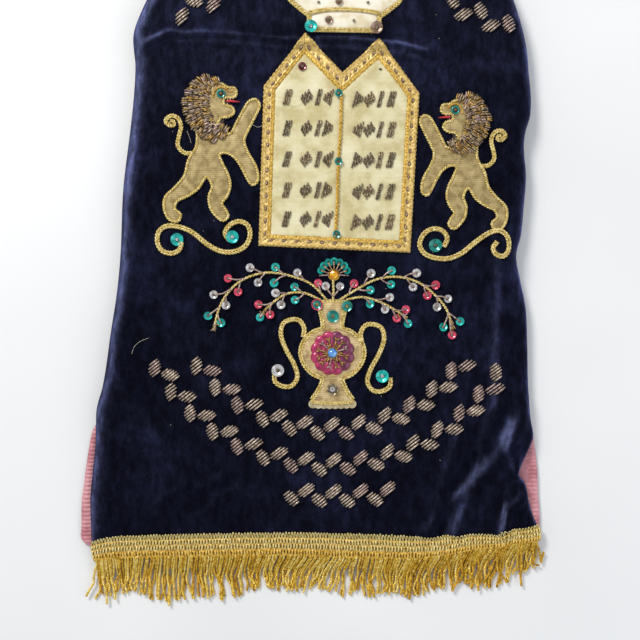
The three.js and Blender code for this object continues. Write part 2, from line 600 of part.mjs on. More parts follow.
const biggest = (solid) => solid.decompose().sort((a, b) => b.volume() - a.volume())[0];
for (const place of LION_PLACES) {
  const cut = (points) => column(placed(points, place));
  const faceLine = curve(lionFace, true, 2);
  const bodyLine = curve(lionBody, true, 2);
  const scrollLine = curve(lionScrolls[place.name], false, 2);
  const scroll = cut(ribbon(scrollLine, SCROLL_WIDTH));
  const mane = cut(maneOutline(0)).subtract(cut(grown(faceLine, GAP)));
  const body = cut(bodyLine).subtract(cut(maneOutline(GAP))).subtract(cut(grown(faceLine, GAP)))
    .subtract(cut(ribbon(scrollLine, SCROLL_WIDTH + 2 * GAP)));
  const tail = cut(ribbon(curve(lionTail, false, 2), TAIL_WIDTH)).subtract(cut(grown(bodyLine, GAP)))
    .subtract(cut(maneOutline(GAP)));
  add(`lion_${place.name}_mane`, sewnOn(MANE, biggest(mane)), OLD_SILVER, 0.5, 0.5);
  add(`lion_${place.name}_face`, sewnOn(SATIN, cut(faceLine)), LAME, 0.5, 0.4);
  add(`lion_${place.name}_body`, sewnOn(SATIN, biggest(body)), LAME, 0.5, 0.4);
  add(`lion_${place.name}_tail`, sewnOn(CORD, biggest(tail)), PALE_GOLD, 0.45, 0.4);
  add(`lion_${place.name}_scroll`, sewnOn(CORD, scroll), PALE_GOLD, 0.45, 0.4);
}

// The vase: a body with a neck and foot, two handles, a rosette, and sprays above it
const VASE = { x: 11.7, y: -31 };
const vaseHalf = [[20.5, -51], [20, -45], [14.5, -37], [11, -30], [9.5, -24.5], [18, -20.3], [25, -13.5],
  [29, -5.5], [30, 1], [28.5, 8], [24, 15], [17, 20.5], [9.5, 23.5], [9.5, 30], [11, 37], [12.7, 43],
  [13, 48]];
const vaseOutline = [...vaseHalf, ...vaseHalf.map(([x, y]) => [-x, y]).reverse()];
const ROSETTE = { y: 0, radius: 18.4, petals: 11, petal: 2.2 };
const rosetteOutline = Array.from({ length: 50 }, (_, i) => {
  const a = (i / 50) * Math.PI * 2;
  const r = ROSETTE.radius + ROSETTE.petal * Math.abs(Math.sin((a * ROSETTE.petals) / 2));
  return [r * Math.cos(a), ROSETTE.y + r * Math.sin(a)];
});
const rosetteBlock = (by) => column(placed(grown(rosetteOutline, by), VASE));
const vaseBlock = column(placed(vaseOutline, VASE)).subtract(rosetteBlock(GAP));
add('vase_body', sewnOn(SATIN, vaseBlock), LAME, 0.5, 0.4);
add('vase_rosette', sewnOn(PURL, rosetteBlock(0)), MAGENTA, 0.4);

const vaseHandle = [[27.5, 13], [26.5, 21], [31, 28.5], [38, 29.5], [46, 26], [48.5, 16], [44, 2],
  [35.5, -14], [33, -25], [38.5, -33], [47, -33.5], [54, -29], [54.5, -21]];
const HANDLE_WIDTH = 4.4;
const vaseRoom = column(placed(grown(vaseOutline, GAP), VASE));
const VASE_HANDLES = [{ name: 'left', mirror: -1, lift: 2 }, { name: 'right', mirror: 1, lift: -2.5 }];
for (const { name, mirror, lift } of VASE_HANDLES) {
  const line = curve(vaseHandle, false, 2).map(([x, y]) => [mirror * x, y + lift]);
  const block = column(placed(ribbon(line, HANDLE_WIDTH), VASE)).subtract(vaseRoom);
  add(`vase_handle_${name}`, sewnOn(CORD, block), PALE_GOLD, 0.45, 0.4);
}

const SPRAYS = {
  left_long: [[-5.5, 50], [-19, 64], [-38, 72], [-60, 75.5], [-82, 70], [-97, 58], [-106, 43], [-112, 21]],
  left_short: [[-11.5, 50], [-27, 56.5], [-43, 55.5], [-57, 46.5], [-68, 35]],
  centre: [[0.5, 50], [1, 60], [0.5, 69]],
  right_short: [[13, 50], [27, 52.5], [42, 49], [56, 42], [70, 33]],
  right_long: [[7, 50], [24, 60.5], [41, 69], [60, 71.5], [80, 66.5], [96, 54.5], [107, 41], [113, 23]],
};
const STEM_WIDTH = 2.6;
for (const [name, line] of Object.entries(SPRAYS)) {
  const stem = column(placed(ribbon(curve(line, false, 2), STEM_WIDTH), VASE)).subtract(vaseRoom);
  add(`spray_${name}`, sewnOn(PURL, stem), PALE_GOLD, 0.45, 0.4);
}

// The origin is the middle of the footprint, on the surface
const box = new THREE.Box3().setFromObject(parts);
parts.position.set(-(box.min.x + box.max.x) / 2, -(box.min.y + box.max.y) / 2, -box.min.z);
const mantle = new THREE.Group();
mantle.add(parts);
export default mantle;
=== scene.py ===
"""A velvet mantle for a pair of scrolls, lying on a pale floor and seen from straight above.

The cloth is worked out in millimetres in the frame of its own drawing, then moved to its place.
"""

import math

import bpy
import numpy as np
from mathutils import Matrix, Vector
from mathutils.geometry import delaunay_2d_cdt


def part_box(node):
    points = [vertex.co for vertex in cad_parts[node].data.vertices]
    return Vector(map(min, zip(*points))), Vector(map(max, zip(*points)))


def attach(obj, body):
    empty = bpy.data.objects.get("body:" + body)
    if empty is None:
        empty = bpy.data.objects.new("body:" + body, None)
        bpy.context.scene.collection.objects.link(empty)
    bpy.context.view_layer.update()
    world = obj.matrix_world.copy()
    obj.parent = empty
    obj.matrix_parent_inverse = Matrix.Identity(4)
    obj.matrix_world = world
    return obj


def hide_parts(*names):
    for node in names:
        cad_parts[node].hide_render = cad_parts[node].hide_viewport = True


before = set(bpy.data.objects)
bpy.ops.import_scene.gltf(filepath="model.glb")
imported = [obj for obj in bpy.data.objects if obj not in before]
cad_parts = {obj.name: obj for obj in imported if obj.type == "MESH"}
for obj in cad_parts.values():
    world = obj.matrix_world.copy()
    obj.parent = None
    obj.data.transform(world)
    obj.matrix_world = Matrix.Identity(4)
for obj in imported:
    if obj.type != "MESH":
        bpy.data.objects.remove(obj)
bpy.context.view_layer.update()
chance = np.random.default_rng(7)

# Cloth, in millimetres
VELVET = 2.5
LINING = 1.2
GAP = 0.3
HEM_Y = -226
HEM_FADE_Y = -150
BACK_HEM_Y = -217
TOP_Y = 372
TOP_PIECE_Y = 367.5
SLIT_TOP_Y = -98
SLIT_BLEND = 30
SEAM_Z = VELVET + GAP + 0.45
SLIT_Z = VELVET + GAP + LINING + GAP + 0.8
SIDE_ROLL = 17
TINY = 1e-9

LEFT_EDGE = [
    (-226, -214.5), (-214, -217.5), (-202, -218.4), (-182, -219.2), (-168, -219.2), (-144, -216.9),
    (-120, -214.4), (-96, -213.7), (-86, -213.3), (-76, -211.1), (-67, -208.3), (-48, -204.7), (-10, -199.3),
    (29, -193.4), (67, -190), (106, -188.6), (125, -187.5), (144, -185.5), (182, -180.6), (216, -177.1),
    (245, -175.8), (259, -177.4), (269, -177.8), (279, -175.8), (298, -167.9), (307, -163.5), (320, -157),
    (338, -147), (354, -135), (365, -123), (372, -111),
]
RIGHT_EDGE = [
    (-226, 210), (-214, 209.3), (-202, 204.4), (-180, 199.6), (-166, 196.8), (-155, 194), (-147.5, 188.4),
    (-138, 192), (-124, 198.8), (-111, 203.4), (-92, 200.4), (-60, 198.6), (-22, 197.8), (12, 196.2),
    (38, 190.9), (62, 187), (81, 191.6), (106, 194), (137, 196.4), (163, 194.4), (180, 195.8), (195, 200.2),
    (213, 201), (235, 199), (257, 197.2), (277, 192.8), (301, 185.3), (320, 177.2), (338, 167.5), (354, 156),
    (365, 145), (372, 134),
]
BACK_LEFT = [
    (-217, -222.5), (-211, -229.3), (-200, -229.5), (-173, -229.2), (-160, -227.2), (-144, -225.4),
    (-125, -222.6), (-106, -218.6), (-98, -214),
]
BACK_RIGHT = [
    (-217, 203), (-211, 209.5), (-202, 210.8), (-183, 211), (-164, 209.6), (-145, 209), (-125, 207.2),
    (-106, 204), (-98, 201.6),
]
HEM_RISE = [
    (-217, -6.5), (-208, -3.6), (-198, -2), (-178, -1.2), (-101, 0), (-25, 0.8), (42, -1.6), (90, -2.2),
    (118, 0.6), (148, 6.2), (174, 9), (182, 11), (196, 12.5), (210, 15.5),
]
LOFT = [(-226, 13), (-180, 15.5), (-120, 19), (-40, 22.5), (60, 25), (180, 27), (262, 28), (276, 30.5),
        (320, 32), (372, 33)]

# Soft ridges and troughs: height, half width, centre line
FOLDS = [
    (4.8, 4.6, [(-174, 250), (-163, 257), (-150, 263), (-140, 267), (-129, 265), (-108, 266), (-80, 264),
                (-61, 262.5), (-40, 260.5), (-21, 259.5), (0, 260.5), (27, 260), (46, 258), (75, 255),
                (98, 249)]),
    (2.0, 11, [(-70, 277), (-30, 273), (10, 274), (50, 270)]),
    (-1.6, 9, [(-130, 257), (-90, 258), (-40, 253), (20, 252), (60, 249)]),
    (4.2, 7, [(172, 60), (172, 19), (170, -19), (170, -61), (169, -76), (166, -87), (162, -100), (158, -107),
              (155, -120)]),
    (-4, 9, [(173, -95), (159, -112), (153, -124), (138, -148), (123, -167), (118, -199)]),
    (4.8, 5.5, [(200, -72), (195, -80), (188, -102), (181, -115), (179.5, -122), (183.5, -129), (186, -136),
                (187, -145), (192, -150), (196, -158), (195, -165), (190, -172), (181, -180), (177, -192),
                (176, -202)]),
    (2.4, 2.3, [(181, -115), (179.5, -122), (183.5, -129), (186, -137), (187, -145)]),
    (2.2, 2.2, [(179.3, -158), (178.8, -170), (177.5, -184), (177, -196)]),
    (3.0, 6, [(184, -98), (182.5, -105), (172.7, -125.5), (160.7, -140), (148.6, -154), (140, -176),
    (132, -202)]),
    (1.8, 5, [(139, -160), (128, -172), (112.4, -188), (100, -202)]),
    (1.4, 7, [(124, -22), (117.2, -33.6), (100, -60), (85.8, -79.5)]),
    (2.6, 6, [(135, -105), (126, -126), (121, -148), (117, -165), (108, -200)]),
    (2.5, 10, [(205, 192), (186, 184), (160, 183)]),
    (2.5, 9, [(195, 62), (180, 66), (166, 80)]),
    (2.4, 10, [(-196, -20), (-180, -60), (-150, -105)]),
    (1.9, 6, [(-150, -170), (-128, -158), (-112, -162), (-92, -150)]),
    (1.6, 5, [(-120, -190), (-104, -180), (-96, -168), (-74, -160)]),
]
WAVES = [(0.9, 58, 71, 0.6), (0.6, 33, -47, 2.1)]

# Small unevenness of the cloth: height, two wave lengths, two shifts
RIPPLES = [
    (0.35, 31, 43, 0.4, 1.1), (0.28, -23, 37, 2.2, 0.3), (0.18, 17, -21, 4.0, 2.6), (0.12, 11, 13, 1.3, 5.0),
]


def follow(rows, at):
    """Value at a place on a smooth curve through a table's rows."""
    keys, values = np.array(rows, float).T
    at = np.clip(np.asarray(at, float), keys[0], keys[-1])
    i = np.clip(np.searchsorted(keys, at, side="right") - 1, 0, len(keys) - 2)
    slopes = np.empty_like(values)
    slopes[1:-1] = (values[2:] - values[:-2]) / (keys[2:] - keys[:-2])
    slopes[0] = (values[1] - values[0]) / (keys[1] - keys[0])
    slopes[-1] = (values[-1] - values[-2]) / (keys[-1] - keys[-2])
    span = keys[i + 1] - keys[i]
    t = (at - keys[i]) / span
    return ((1 + 2 * t) * (1 - t) ** 2 * values[i] + t * t * (3 - 2 * t) * values[i + 1]
            + span * (t * (1 - t) ** 2 * slopes[i] + t * t * (t - 1) * slopes[i + 1]))


def smooth(start, end, at):
    """A soft step from 0 at the start to 1 at the end."""
    t = np.clip((np.asarray(at, float) - start) / (end - start), 0, 1)
    return t * t * (3 - 2 * t)


def distance_to(path, x, y, closed=False):
    """How far points are from a line through a list of points, in plan."""
    path = np.array(path, float)
    if closed:
        path = np.vstack([path, path[:1]])
    nearest = np.full(np.shape(x), np.inf)
    for a, b in zip(path[:-1], path[1:]):
        d = b - a
        t = np.clip(((x - a[0]) * d[0] + (y - a[1]) * d[1]) / max(d @ d, TINY), 0, 1)
        nearest = np.minimum(nearest, np.hypot(x - a[0] - t * d[0], y - a[1] - t * d[1]))
    return nearest


def front(u, v):
    """Mid-plane of the front velvet at share u across and nominal length v."""
    u, v = np.broadcast_arrays(np.asarray(u, float), np.asarray(v, float))
    left, right = follow(LEFT_EDGE, v), follow(RIGHT_EDGE, v)
    x = left + (right - left) * (u + 1) / 2
    y = v + follow(HEM_RISE, x) * (1 - smooth(HEM_Y, HEM_FADE_Y, v))
    lean_left = (follow(LEFT_EDGE, v + 2) - follow(LEFT_EDGE, v - 2)) / 4
    lean_right = (follow(RIGHT_EDGE, v + 2) - follow(RIGHT_EDGE, v - 2)) / 4
    lean = np.where(u < 0, lean_left, lean_right)
    inward = np.maximum(0, np.minimum(x - left, right - x)) / np.hypot(1, lean)
    roll = np.sqrt(1 - (1 - np.minimum(1, inward / SIDE_ROLL)) ** 2)
    slit = 1 - smooth(SLIT_TOP_Y + 2, SLIT_TOP_Y + SLIT_BLEND, v)
    foot = SEAM_Z + (SLIT_Z - SEAM_Z) * slit
    relief = np.zeros_like(x)
    for height, width, path in FOLDS:
        held = np.maximum(roll, slit) if height > 0 else roll
        relief += held * height * np.exp(-(distance_to(path, x, y) / width) ** 2)
    for height, along, across, shift in WAVES:
        relief += roll * height * np.sin(x / across + shift) * np.cos(y / along)
    for height, one, two, shift_one, shift_two in RIPPLES:
        first, second = np.sin(x / one + y / two + shift_one), np.sin(y / one - x / two + shift_two)
        relief += roll * height * first * second
    return np.stack([x, y, foot + (follow(LOFT, v) - foot) * roll + relief], axis=-1)


def share_at(x, y):
    """The share across and the nominal length of a place in plan."""
    v = np.array(y, float)
    for _ in range(8):
        v = y - follow(HEM_RISE, x) * (1 - smooth(HEM_Y, HEM_FADE_Y, v))
    left, right = follow(LEFT_EDGE, v), follow(RIGHT_EDGE, v)
    return np.clip(2 * (x - left) / (right - left) - 1, -1, 1), v


# A chart of how high the front lies, so that what is sewn on it can be placed quickly
CHART_STEP = 1.5
chart_x = np.arange(-205, 206, CHART_STEP)
chart_y = np.arange(-215, 371, CHART_STEP)
chart = front(*share_at(*np.meshgrid(chart_x, chart_y)))[..., 2] + VELVET / 2


def ground(x, y):
    """Height of the velvet's upper side."""
    i = np.clip((np.asarray(x, float) - chart_x[0]) / CHART_STEP, 0, len(chart_x) - 1.001)
    j = np.clip((np.asarray(y, float) - chart_y[0]) / CHART_STEP, 0, len(chart_y) - 1.001)
    a, b = i.astype(int), j.astype(int)
    s, t = i - a, j - b
    return ((chart[b, a] * (1 - s) + chart[b, a + 1] * s) * (1 - t)
            + (chart[b + 1, a] * (1 - s) + chart[b + 1, a + 1] * s) * t)


def laid(line, height):
    """A line in plan, laid on the velvet with its points that much above it."""
    line = np.asarray(line, float)
    return np.concatenate([line[..., :2], (ground(line[..., 0], line[..., 1]) + height)[..., None]], axis=-1)


# The drawing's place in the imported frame
vase_low, vase_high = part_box("vase_body")
VASE = {"x": 11.7, "y": -31}
SHIFT = np.array([(vase_low.x + vase_high.x) / 2 * 1000 - VASE["x"],
                  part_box("top_piece")[0].y * 1000 - TOP_PIECE_Y, 0])


def to_metres(points):
    """The drawing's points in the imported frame."""
    return (np.asarray(points, float) + SHIFT) / 1000


# Lines in plan
def spline(points, closed=False, per=6):
    """Centripetal curve through points."""
    p = np.array(points, float)
    if closed:
        p = np.vstack([p[-1:], p, p[:2]])
    else:
        p = np.vstack([2 * p[0] - p[1], p, 2 * p[-1] - p[-2]])
    out = []
    for a, b, c, d in zip(p[:-3], p[1:-2], p[2:-1], p[3:]):
        k = [0.0]
        for one, two in ((a, b), (b, c), (c, d)):
            k.append(k[-1] + max(math.dist(one, two), 1e-6) ** 0.5)
        t = np.linspace(k[1], k[2], per, endpoint=False)[:, None]
        ab = (k[1] - t) / (k[1] - k[0]) * a + (t - k[0]) / (k[1] - k[0]) * b
        bc = (k[2] - t) / (k[2] - k[1]) * b + (t - k[1]) / (k[2] - k[1]) * c
        cd = (k[3] - t) / (k[3] - k[2]) * c + (t - k[2]) / (k[3] - k[2]) * d
        abc = (k[2] - t) / (k[2] - k[0]) * ab + (t - k[0]) / (k[2] - k[0]) * bc
        bcd = (k[3] - t) / (k[3] - k[1]) * bc + (t - k[1]) / (k[3] - k[1]) * cd
        out.append((k[2] - t) / (k[2] - k[1]) * abc + (t - k[1]) / (k[2] - k[1]) * bcd)
    out = np.vstack(out)
    return out if closed else np.vstack([out, p[-2:-1]])


def evenly(line, step, closed=False):
    """The line again, with points one step apart, and how far along each one is."""
    line = np.asarray(line, float)
    if closed:
        line = np.vstack([line, line[:1]])
    along = np.concatenate([[0], np.cumsum(np.linalg.norm(np.diff(line, axis=0), axis=1))])
    at = np.linspace(0, along[-1], max(3, int(round(along[-1] / step)) + 1))
    return np.stack([np.interp(at, along, line[:, k]) for k in range(line.shape[1])], axis=1), at


def placed(points, place):
    """A motif's own points at its place on the front."""
    angle = math.radians(place.get("turn", 0))
    p = np.asarray(points, float) * [place.get("across", 1), place.get("along", 1)]
    return np.stack([place["x"] + p[..., 0] * math.cos(angle) - p[..., 1] * math.sin(angle),
                     place["y"] + p[..., 0] * math.sin(angle) + p[..., 1] * math.cos(angle)], axis=-1)


def drawn(points, place, step, closed=False, curved=True):
    """A motif's line at its place on the front, with its points one step apart."""
    line = placed(points, place)
    if curved:
        line = spline(line, closed)
    line = evenly(line, step, closed)[0]
    return line[:-1] if closed else line


def toward(x, y, reach, angle):
    """The point that far away in a direction."""
    return x + reach * math.cos(angle), y + reach * math.sin(angle)


def beside(line, by):
    """A line moved sideways."""
    d = np.gradient(np.asarray(line, float)[:, :2], axis=0)
    d /= np.linalg.norm(d, axis=1)[:, None]
    return np.asarray(line, float)[:, :2] + np.stack([-d[:, 1], d[:, 0]], axis=1) * by


def inside(loop, x, y):
    """Whether points lie in a closed outline."""
    loop = np.asarray(loop, float)
    found = np.zeros(np.shape(x), bool)
    for a, b in zip(loop, np.roll(loop, -1, axis=0)):
        if a[1] != b[1]:
            crosses = (a[1] > y) != (b[1] > y)
            found ^= crosses & (x < (b[0] - a[0]) * (y - a[1]) / (b[1] - a[1]) + a[0])
    return found


# Meshes
FACET_TURN = 0.3
PLY_OFFSET, PLY_RADIUS = 0.48, 0.52
ROW_SHARE, EDGE_SHARE = 0.87, 0.45


class Build:
    """Points and faces of one piece, with the number of a material for each face."""

    def __init__(self):
        self.points, self.faces, self.kinds, self.count = [], [], [], 0

    def join(self, faces, kind=0):
        """Faces between points that are already there. The kind is one number, or one for each face."""
        self.faces.extend(np.asarray(faces).tolist())
        self.kinds.extend(np.broadcast_to(kind, len(faces)).tolist())

    def add(self, points, faces, kind=0):
        """New points with the faces between them."""
        points = np.asarray(points, float).reshape(-1, 3)
        self.points.append(points)
        self.join(np.asarray(faces) + self.count, kind)
        self.count += len(points)

    def finish(self, name, materials, slot, replaces=(), shaded_smooth=True):
        """The piece itself, on the root body, with the solids it stands for hidden. Its slot is not used."""
        mesh = bpy.data.meshes.new(name)
        mesh.from_pydata(to_metres(np.vstack(self.points)).tolist(), [], self.faces)
        for one in materials:
            mesh.materials.append(one)
        mesh.polygons.foreach_set("material_index", np.array(self.kinds, np.int32))
        mesh.polygons.foreach_set("use_smooth", np.full(len(self.faces), shaded_smooth))
        mesh.update()
        made = bpy.data.objects.new(name, mesh)
        bpy.context.scene.collection.objects.link(made)
        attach(made, "root")
        if replaces:
            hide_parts(*replaces)
        return made


def rods(build, lines, radius, sides=5, kind=0, up=(0, 0, 1)):
    """Round rods along many lines of the same number of points: lines is rods, points, 3."""
    lines = np.asarray(lines, float)
    if lines.ndim == 2:
        lines = lines[None]
    n, m, _ = lines.shape
    tangent = np.gradient(lines, axis=1)
    tangent /= np.maximum(np.linalg.norm(tangent, axis=2, keepdims=True), TINY)
    side = np.cross(tangent, np.broadcast_to(np.asarray(up, float), tangent.shape))
    side /= np.maximum(np.linalg.norm(side, axis=2, keepdims=True), TINY)
    top = np.cross(side, tangent)
    k = np.arange(sides)
    after = (k + 1) % sides
    a = k / sides * 2 * math.pi + FACET_TURN
    radius = np.broadcast_to(np.asarray(radius, float), (n, m))[:, :, None, None]
    ring = side[:, :, None] * np.cos(a)[:, None] + top[:, :, None] * np.sin(a)[:, None]
    points = np.concatenate([(lines[:, :, None] + radius * ring).reshape(n, m * sides, 3),
                             lines[:, :1], lines[:, -1:]], axis=1)
    row = np.arange(m - 1)[:, None] * sides
    quads = np.stack([row + k, row + after, row + sides + after, row + sides + k], axis=-1).reshape(-1, 4)
    last_row = (m - 1) * sides
    first = np.stack([np.full(sides, m * sides), after, k], axis=-1)
    last = np.stack([np.full(sides, m * sides + 1), last_row + k, last_row + after], axis=-1)
    base = (np.arange(n) * (m * sides + 2))[:, None, None]
    start = build.count
    build.add(points, (quads[None] + base).reshape(-1, 4), kind)
    build.join((np.concatenate([first, last])[None] + base + start).reshape(-1, 3), kind)


def cord(build, line, radius, pitch, sides=5, hand=1, kind=0, step=None, up=(0, 0, 1), closed=False,
         turned=0.0):
    """A cord of two twisted plies along a line in space."""
    line, along = evenly(line, step or pitch / 9, closed)
    tangent = np.gradient(line, axis=0)
    tangent /= np.linalg.norm(tangent, axis=1)[:, None]
    side = np.cross(tangent, np.broadcast_to(np.asarray(up, float), tangent.shape))
    side /= np.linalg.norm(side, axis=1)[:, None]
    top = np.cross(side, tangent)
    if closed:
        pitch = along[-1] / max(1, round(along[-1] / pitch))
    for ply in (0, 1):
        a = hand * 2 * math.pi * along / pitch + math.pi * ply + turned
        away = (side * np.cos(a)[:, None] + top * np.sin(a)[:, None]) * radius * PLY_OFFSET
        rods(build, line + away, radius * PLY_RADIUS, sides, kind, up)


def plait(build, line, width, pitch, kind=0, closed=False, raised=0.0):
    """Two thin cords of opposite twist side by side, seen as rows of slanted stitches."""
    for way in (-1, 1):
        flat = beside(line, way * width * 0.22)
        cord(build, laid(flat, width * 0.3 + raised), width * 0.29, pitch, hand=way, kind=kind,
             step=pitch / 8, closed=closed)


def area_of(loop):
    """The area inside an outline, below zero where it runs clockwise."""
    loop = np.asarray(loop, float)
    after = np.roll(loop, -1, axis=0)
    return float((loop[:, 0] * after[:, 1] - after[:, 0] * loop[:, 1]).sum() / 2)


def filled(points, edges):
    """A flat form filled with triangles that all turn the same way: its points and its faces."""
    made = delaunay_2d_cdt([Vector(p) for p in points], edges, [], 1, 1e-5)
    flat = np.array([tuple(p) for p in made[0]])
    faces = [list(f) if area_of(flat[list(f)]) > 0 else list(f)[::-1] for f in made[2] if len(f) == 3]
    return flat, np.array(faces)


def closed_form(build, upper, lower, faces, kind=0):
    """Two copies of a filled form, closed along their edges."""
    n, start = len(upper), build.count
    edges = {}
    for face in faces.tolist():
        for a, b in zip(face, face[1:] + face[:1]):
            if (b, a) in edges:
                del edges[(b, a)]
            else:
                edges[(a, b)] = True
    build.add(np.vstack([upper, lower]), faces, kind)
    build.join(faces[:, ::-1] + n + start, kind)
    build.join([[a + start, a + n + start, b + n + start, b + start] for a, b in edges], kind)


def patch(build, loop, spacing, height, kind=0, low=0.1):
    """A closed cushion-like patch over an outline in plan: height gets x, y and the distance to the edge."""
    loop = np.asarray(loop, float)
    (x0, y0), (x1, y1) = loop.min(0), loop.max(0)
    gx, gy = np.meshgrid(np.arange(x0, x1, spacing), np.arange(y0, y1, spacing * ROW_SHARE))
    gx = gx + (np.arange(len(gy)) % 2)[:, None] * spacing / 2
    gx, gy = gx.ravel(), gy.ravel()
    keep = inside(loop, gx, gy) & (distance_to(loop, gx, gy, True) > spacing * EDGE_SHARE)
    edges = [(i, (i + 1) % len(loop)) for i in range(len(loop))]
    flat, faces = filled(np.vstack([loop, np.column_stack([gx[keep], gy[keep]])]), edges)
    away = distance_to(loop, flat[:, 0], flat[:, 1], True)
    base = ground(flat[:, 0], flat[:, 1])
    upper = np.column_stack([flat, base + height(flat[:, 0], flat[:, 1], away)])
    closed_form(build, upper, np.column_stack([flat, base + low]), faces, kind)


def closed_grid(build, low, high, kind=0, under=0):
    """A closed sheet between two grids of points. The kind is one number, or one for each upper face."""
    rows, columns = low.shape[:2]
    n, start = rows * columns, build.count
    at = np.arange(n).reshape(rows, columns)
    quads = np.stack([at[:-1, :-1], at[:-1, 1:], at[1:, 1:], at[1:, :-1]], axis=-1).reshape(-1, 4)
    rim = np.concatenate([at[0], at[1:, -1], at[-1, -2::-1], at[-2:0:-1, 0]])
    after = np.roll(rim, -1)
    walls = np.stack([rim, after, after + n, rim + n], axis=-1)
    build.add(np.concatenate([low.reshape(-1, 3), high.reshape(-1, 3)]), quads + n, kind)
    build.join(np.concatenate([quads[:, ::-1], walls]) + start, under)


def slab(build, grid, low, high, kind=0):
    """A closed sheet between two copies of a grid of points, moved along its normals."""
    normal = np.cross(np.gradient(grid, axis=1), np.gradient(grid, axis=0))
    normal /= np.maximum(np.linalg.norm(normal, axis=2, keepdims=True), TINY)
    closed_grid(build, grid + normal * low, grid + normal * high, kind, kind)


# Materials
class Shade:
    """A procedural material: a principled shader with noise in its colour and grain in its bump."""

    def __init__(self, name, roughness, metallic=0.0, **more):
        self.made = bpy.data.materials.new(name)
        self.made.use_nodes = True
        self.tree = self.made.node_tree
        self.shader = self.tree.nodes["Principled BSDF"]
        self.shader.inputs["Roughness"].default_value = roughness
        self.shader.inputs["Metallic"].default_value = metallic
        for key, value in more.items():
            self.shader.inputs[key.replace("_", " ").title().replace("Ior", "IOR")].default_value = value
        self.place = self.tree.nodes.new("ShaderNodeTexCoord").outputs["Object"]

    def node(self, kind, links=(), **values):
        """A node with its links, and its values as inputs or as settings."""
        made = self.tree.nodes.new(kind)
        for key, value in values.items():
            if key in made.inputs:
                made.inputs[key].default_value = value
            else:
                setattr(made, key, value)
        for socket, source in dict(links).items():
            self.tree.links.new(source, made.inputs[socket])
        return made

    def noise(self, size, detail=2.0, stretch=None, rough=0.5):
        """Noise whose patches are about size millimetres wide."""
        place = self.place
        if stretch:
            place = self.node("ShaderNodeMapping", {"Vector": place}, Scale=stretch).outputs[0]
        return self.node("ShaderNodeTexNoise", {"Vector": place}, Scale=1000 / size, Detail=detail,
                         Roughness=rough).outputs["Fac"]

    def ramp(self, source, *stops):
        """Colours by the value of the source: each stop is a position and a colour."""
        made = self.node("ShaderNodeValToRGB", {"Fac": source})
        for element, (position, color) in zip(made.color_ramp.elements, (stops[0], stops[-1])):
            element.position, element.color = position, (*color, 1)
        for position, color in stops[1:-1]:
            made.color_ramp.elements.new(position).color = (*color, 1)
        return made.outputs["Color"]

    def mix(self, share, one, two, kind="MIX"):
        """Two colours mixed. Each of the three may be a number, a colour or a socket."""
        made = self.node("ShaderNodeMix", data_type="RGBA", blend_type=kind)
        for socket, value in ((0, share), (6, one), (7, two)):
            if isinstance(value, (int, float)):
                made.inputs[socket].default_value = value
            elif isinstance(value, tuple):
                made.inputs[socket].default_value = (*value, 1)
            else:
                self.tree.links.new(value, made.inputs[socket])
        return made.outputs[2]

    def color(self, source):
        self.tree.links.new(source, self.shader.inputs["Base Color"])
        return self

    def bump(self, source, strength, depth):
        made = self.node("ShaderNodeBump", {"Height": source}, Strength=strength, Distance=depth / 1000)
        self.tree.links.new(made.outputs[0], self.shader.inputs["Normal"])
        return self


def rgb(code):
    """A colour as it is seen, as the shader takes it."""
    parts = [int(code[i:i + 2], 16) / 255 for i in (0, 2, 4)]
    return tuple(c / 12.92 if c <= 0.04045 else ((c + 0.055) / 1.055) ** 2.4 for c in parts)


def thread(name, dark, middle, light, roughness=0.38, metallic=0.45, grain=0.5, **more):
    """Metal thread: patches of colour along it and fine filaments."""
    s = Shade(name, roughness, metallic, **more)
    s.color(s.ramp(s.noise(2.2, 3), (0.3, rgb(dark)), (0.5, rgb(middle)), (0.72, rgb(light))))
    return s.bump(s.noise(0.45, 2), grain, 0.25).made


# The facing that is painted darkest, slopes turned away from it getting painted sheen, and the lengths
# between which the velvet grows a little paler toward the top
DARKEST_FACING = (0.28, -0.18, 0.943)
PALER_FROM, PALER_TO = 150, 280


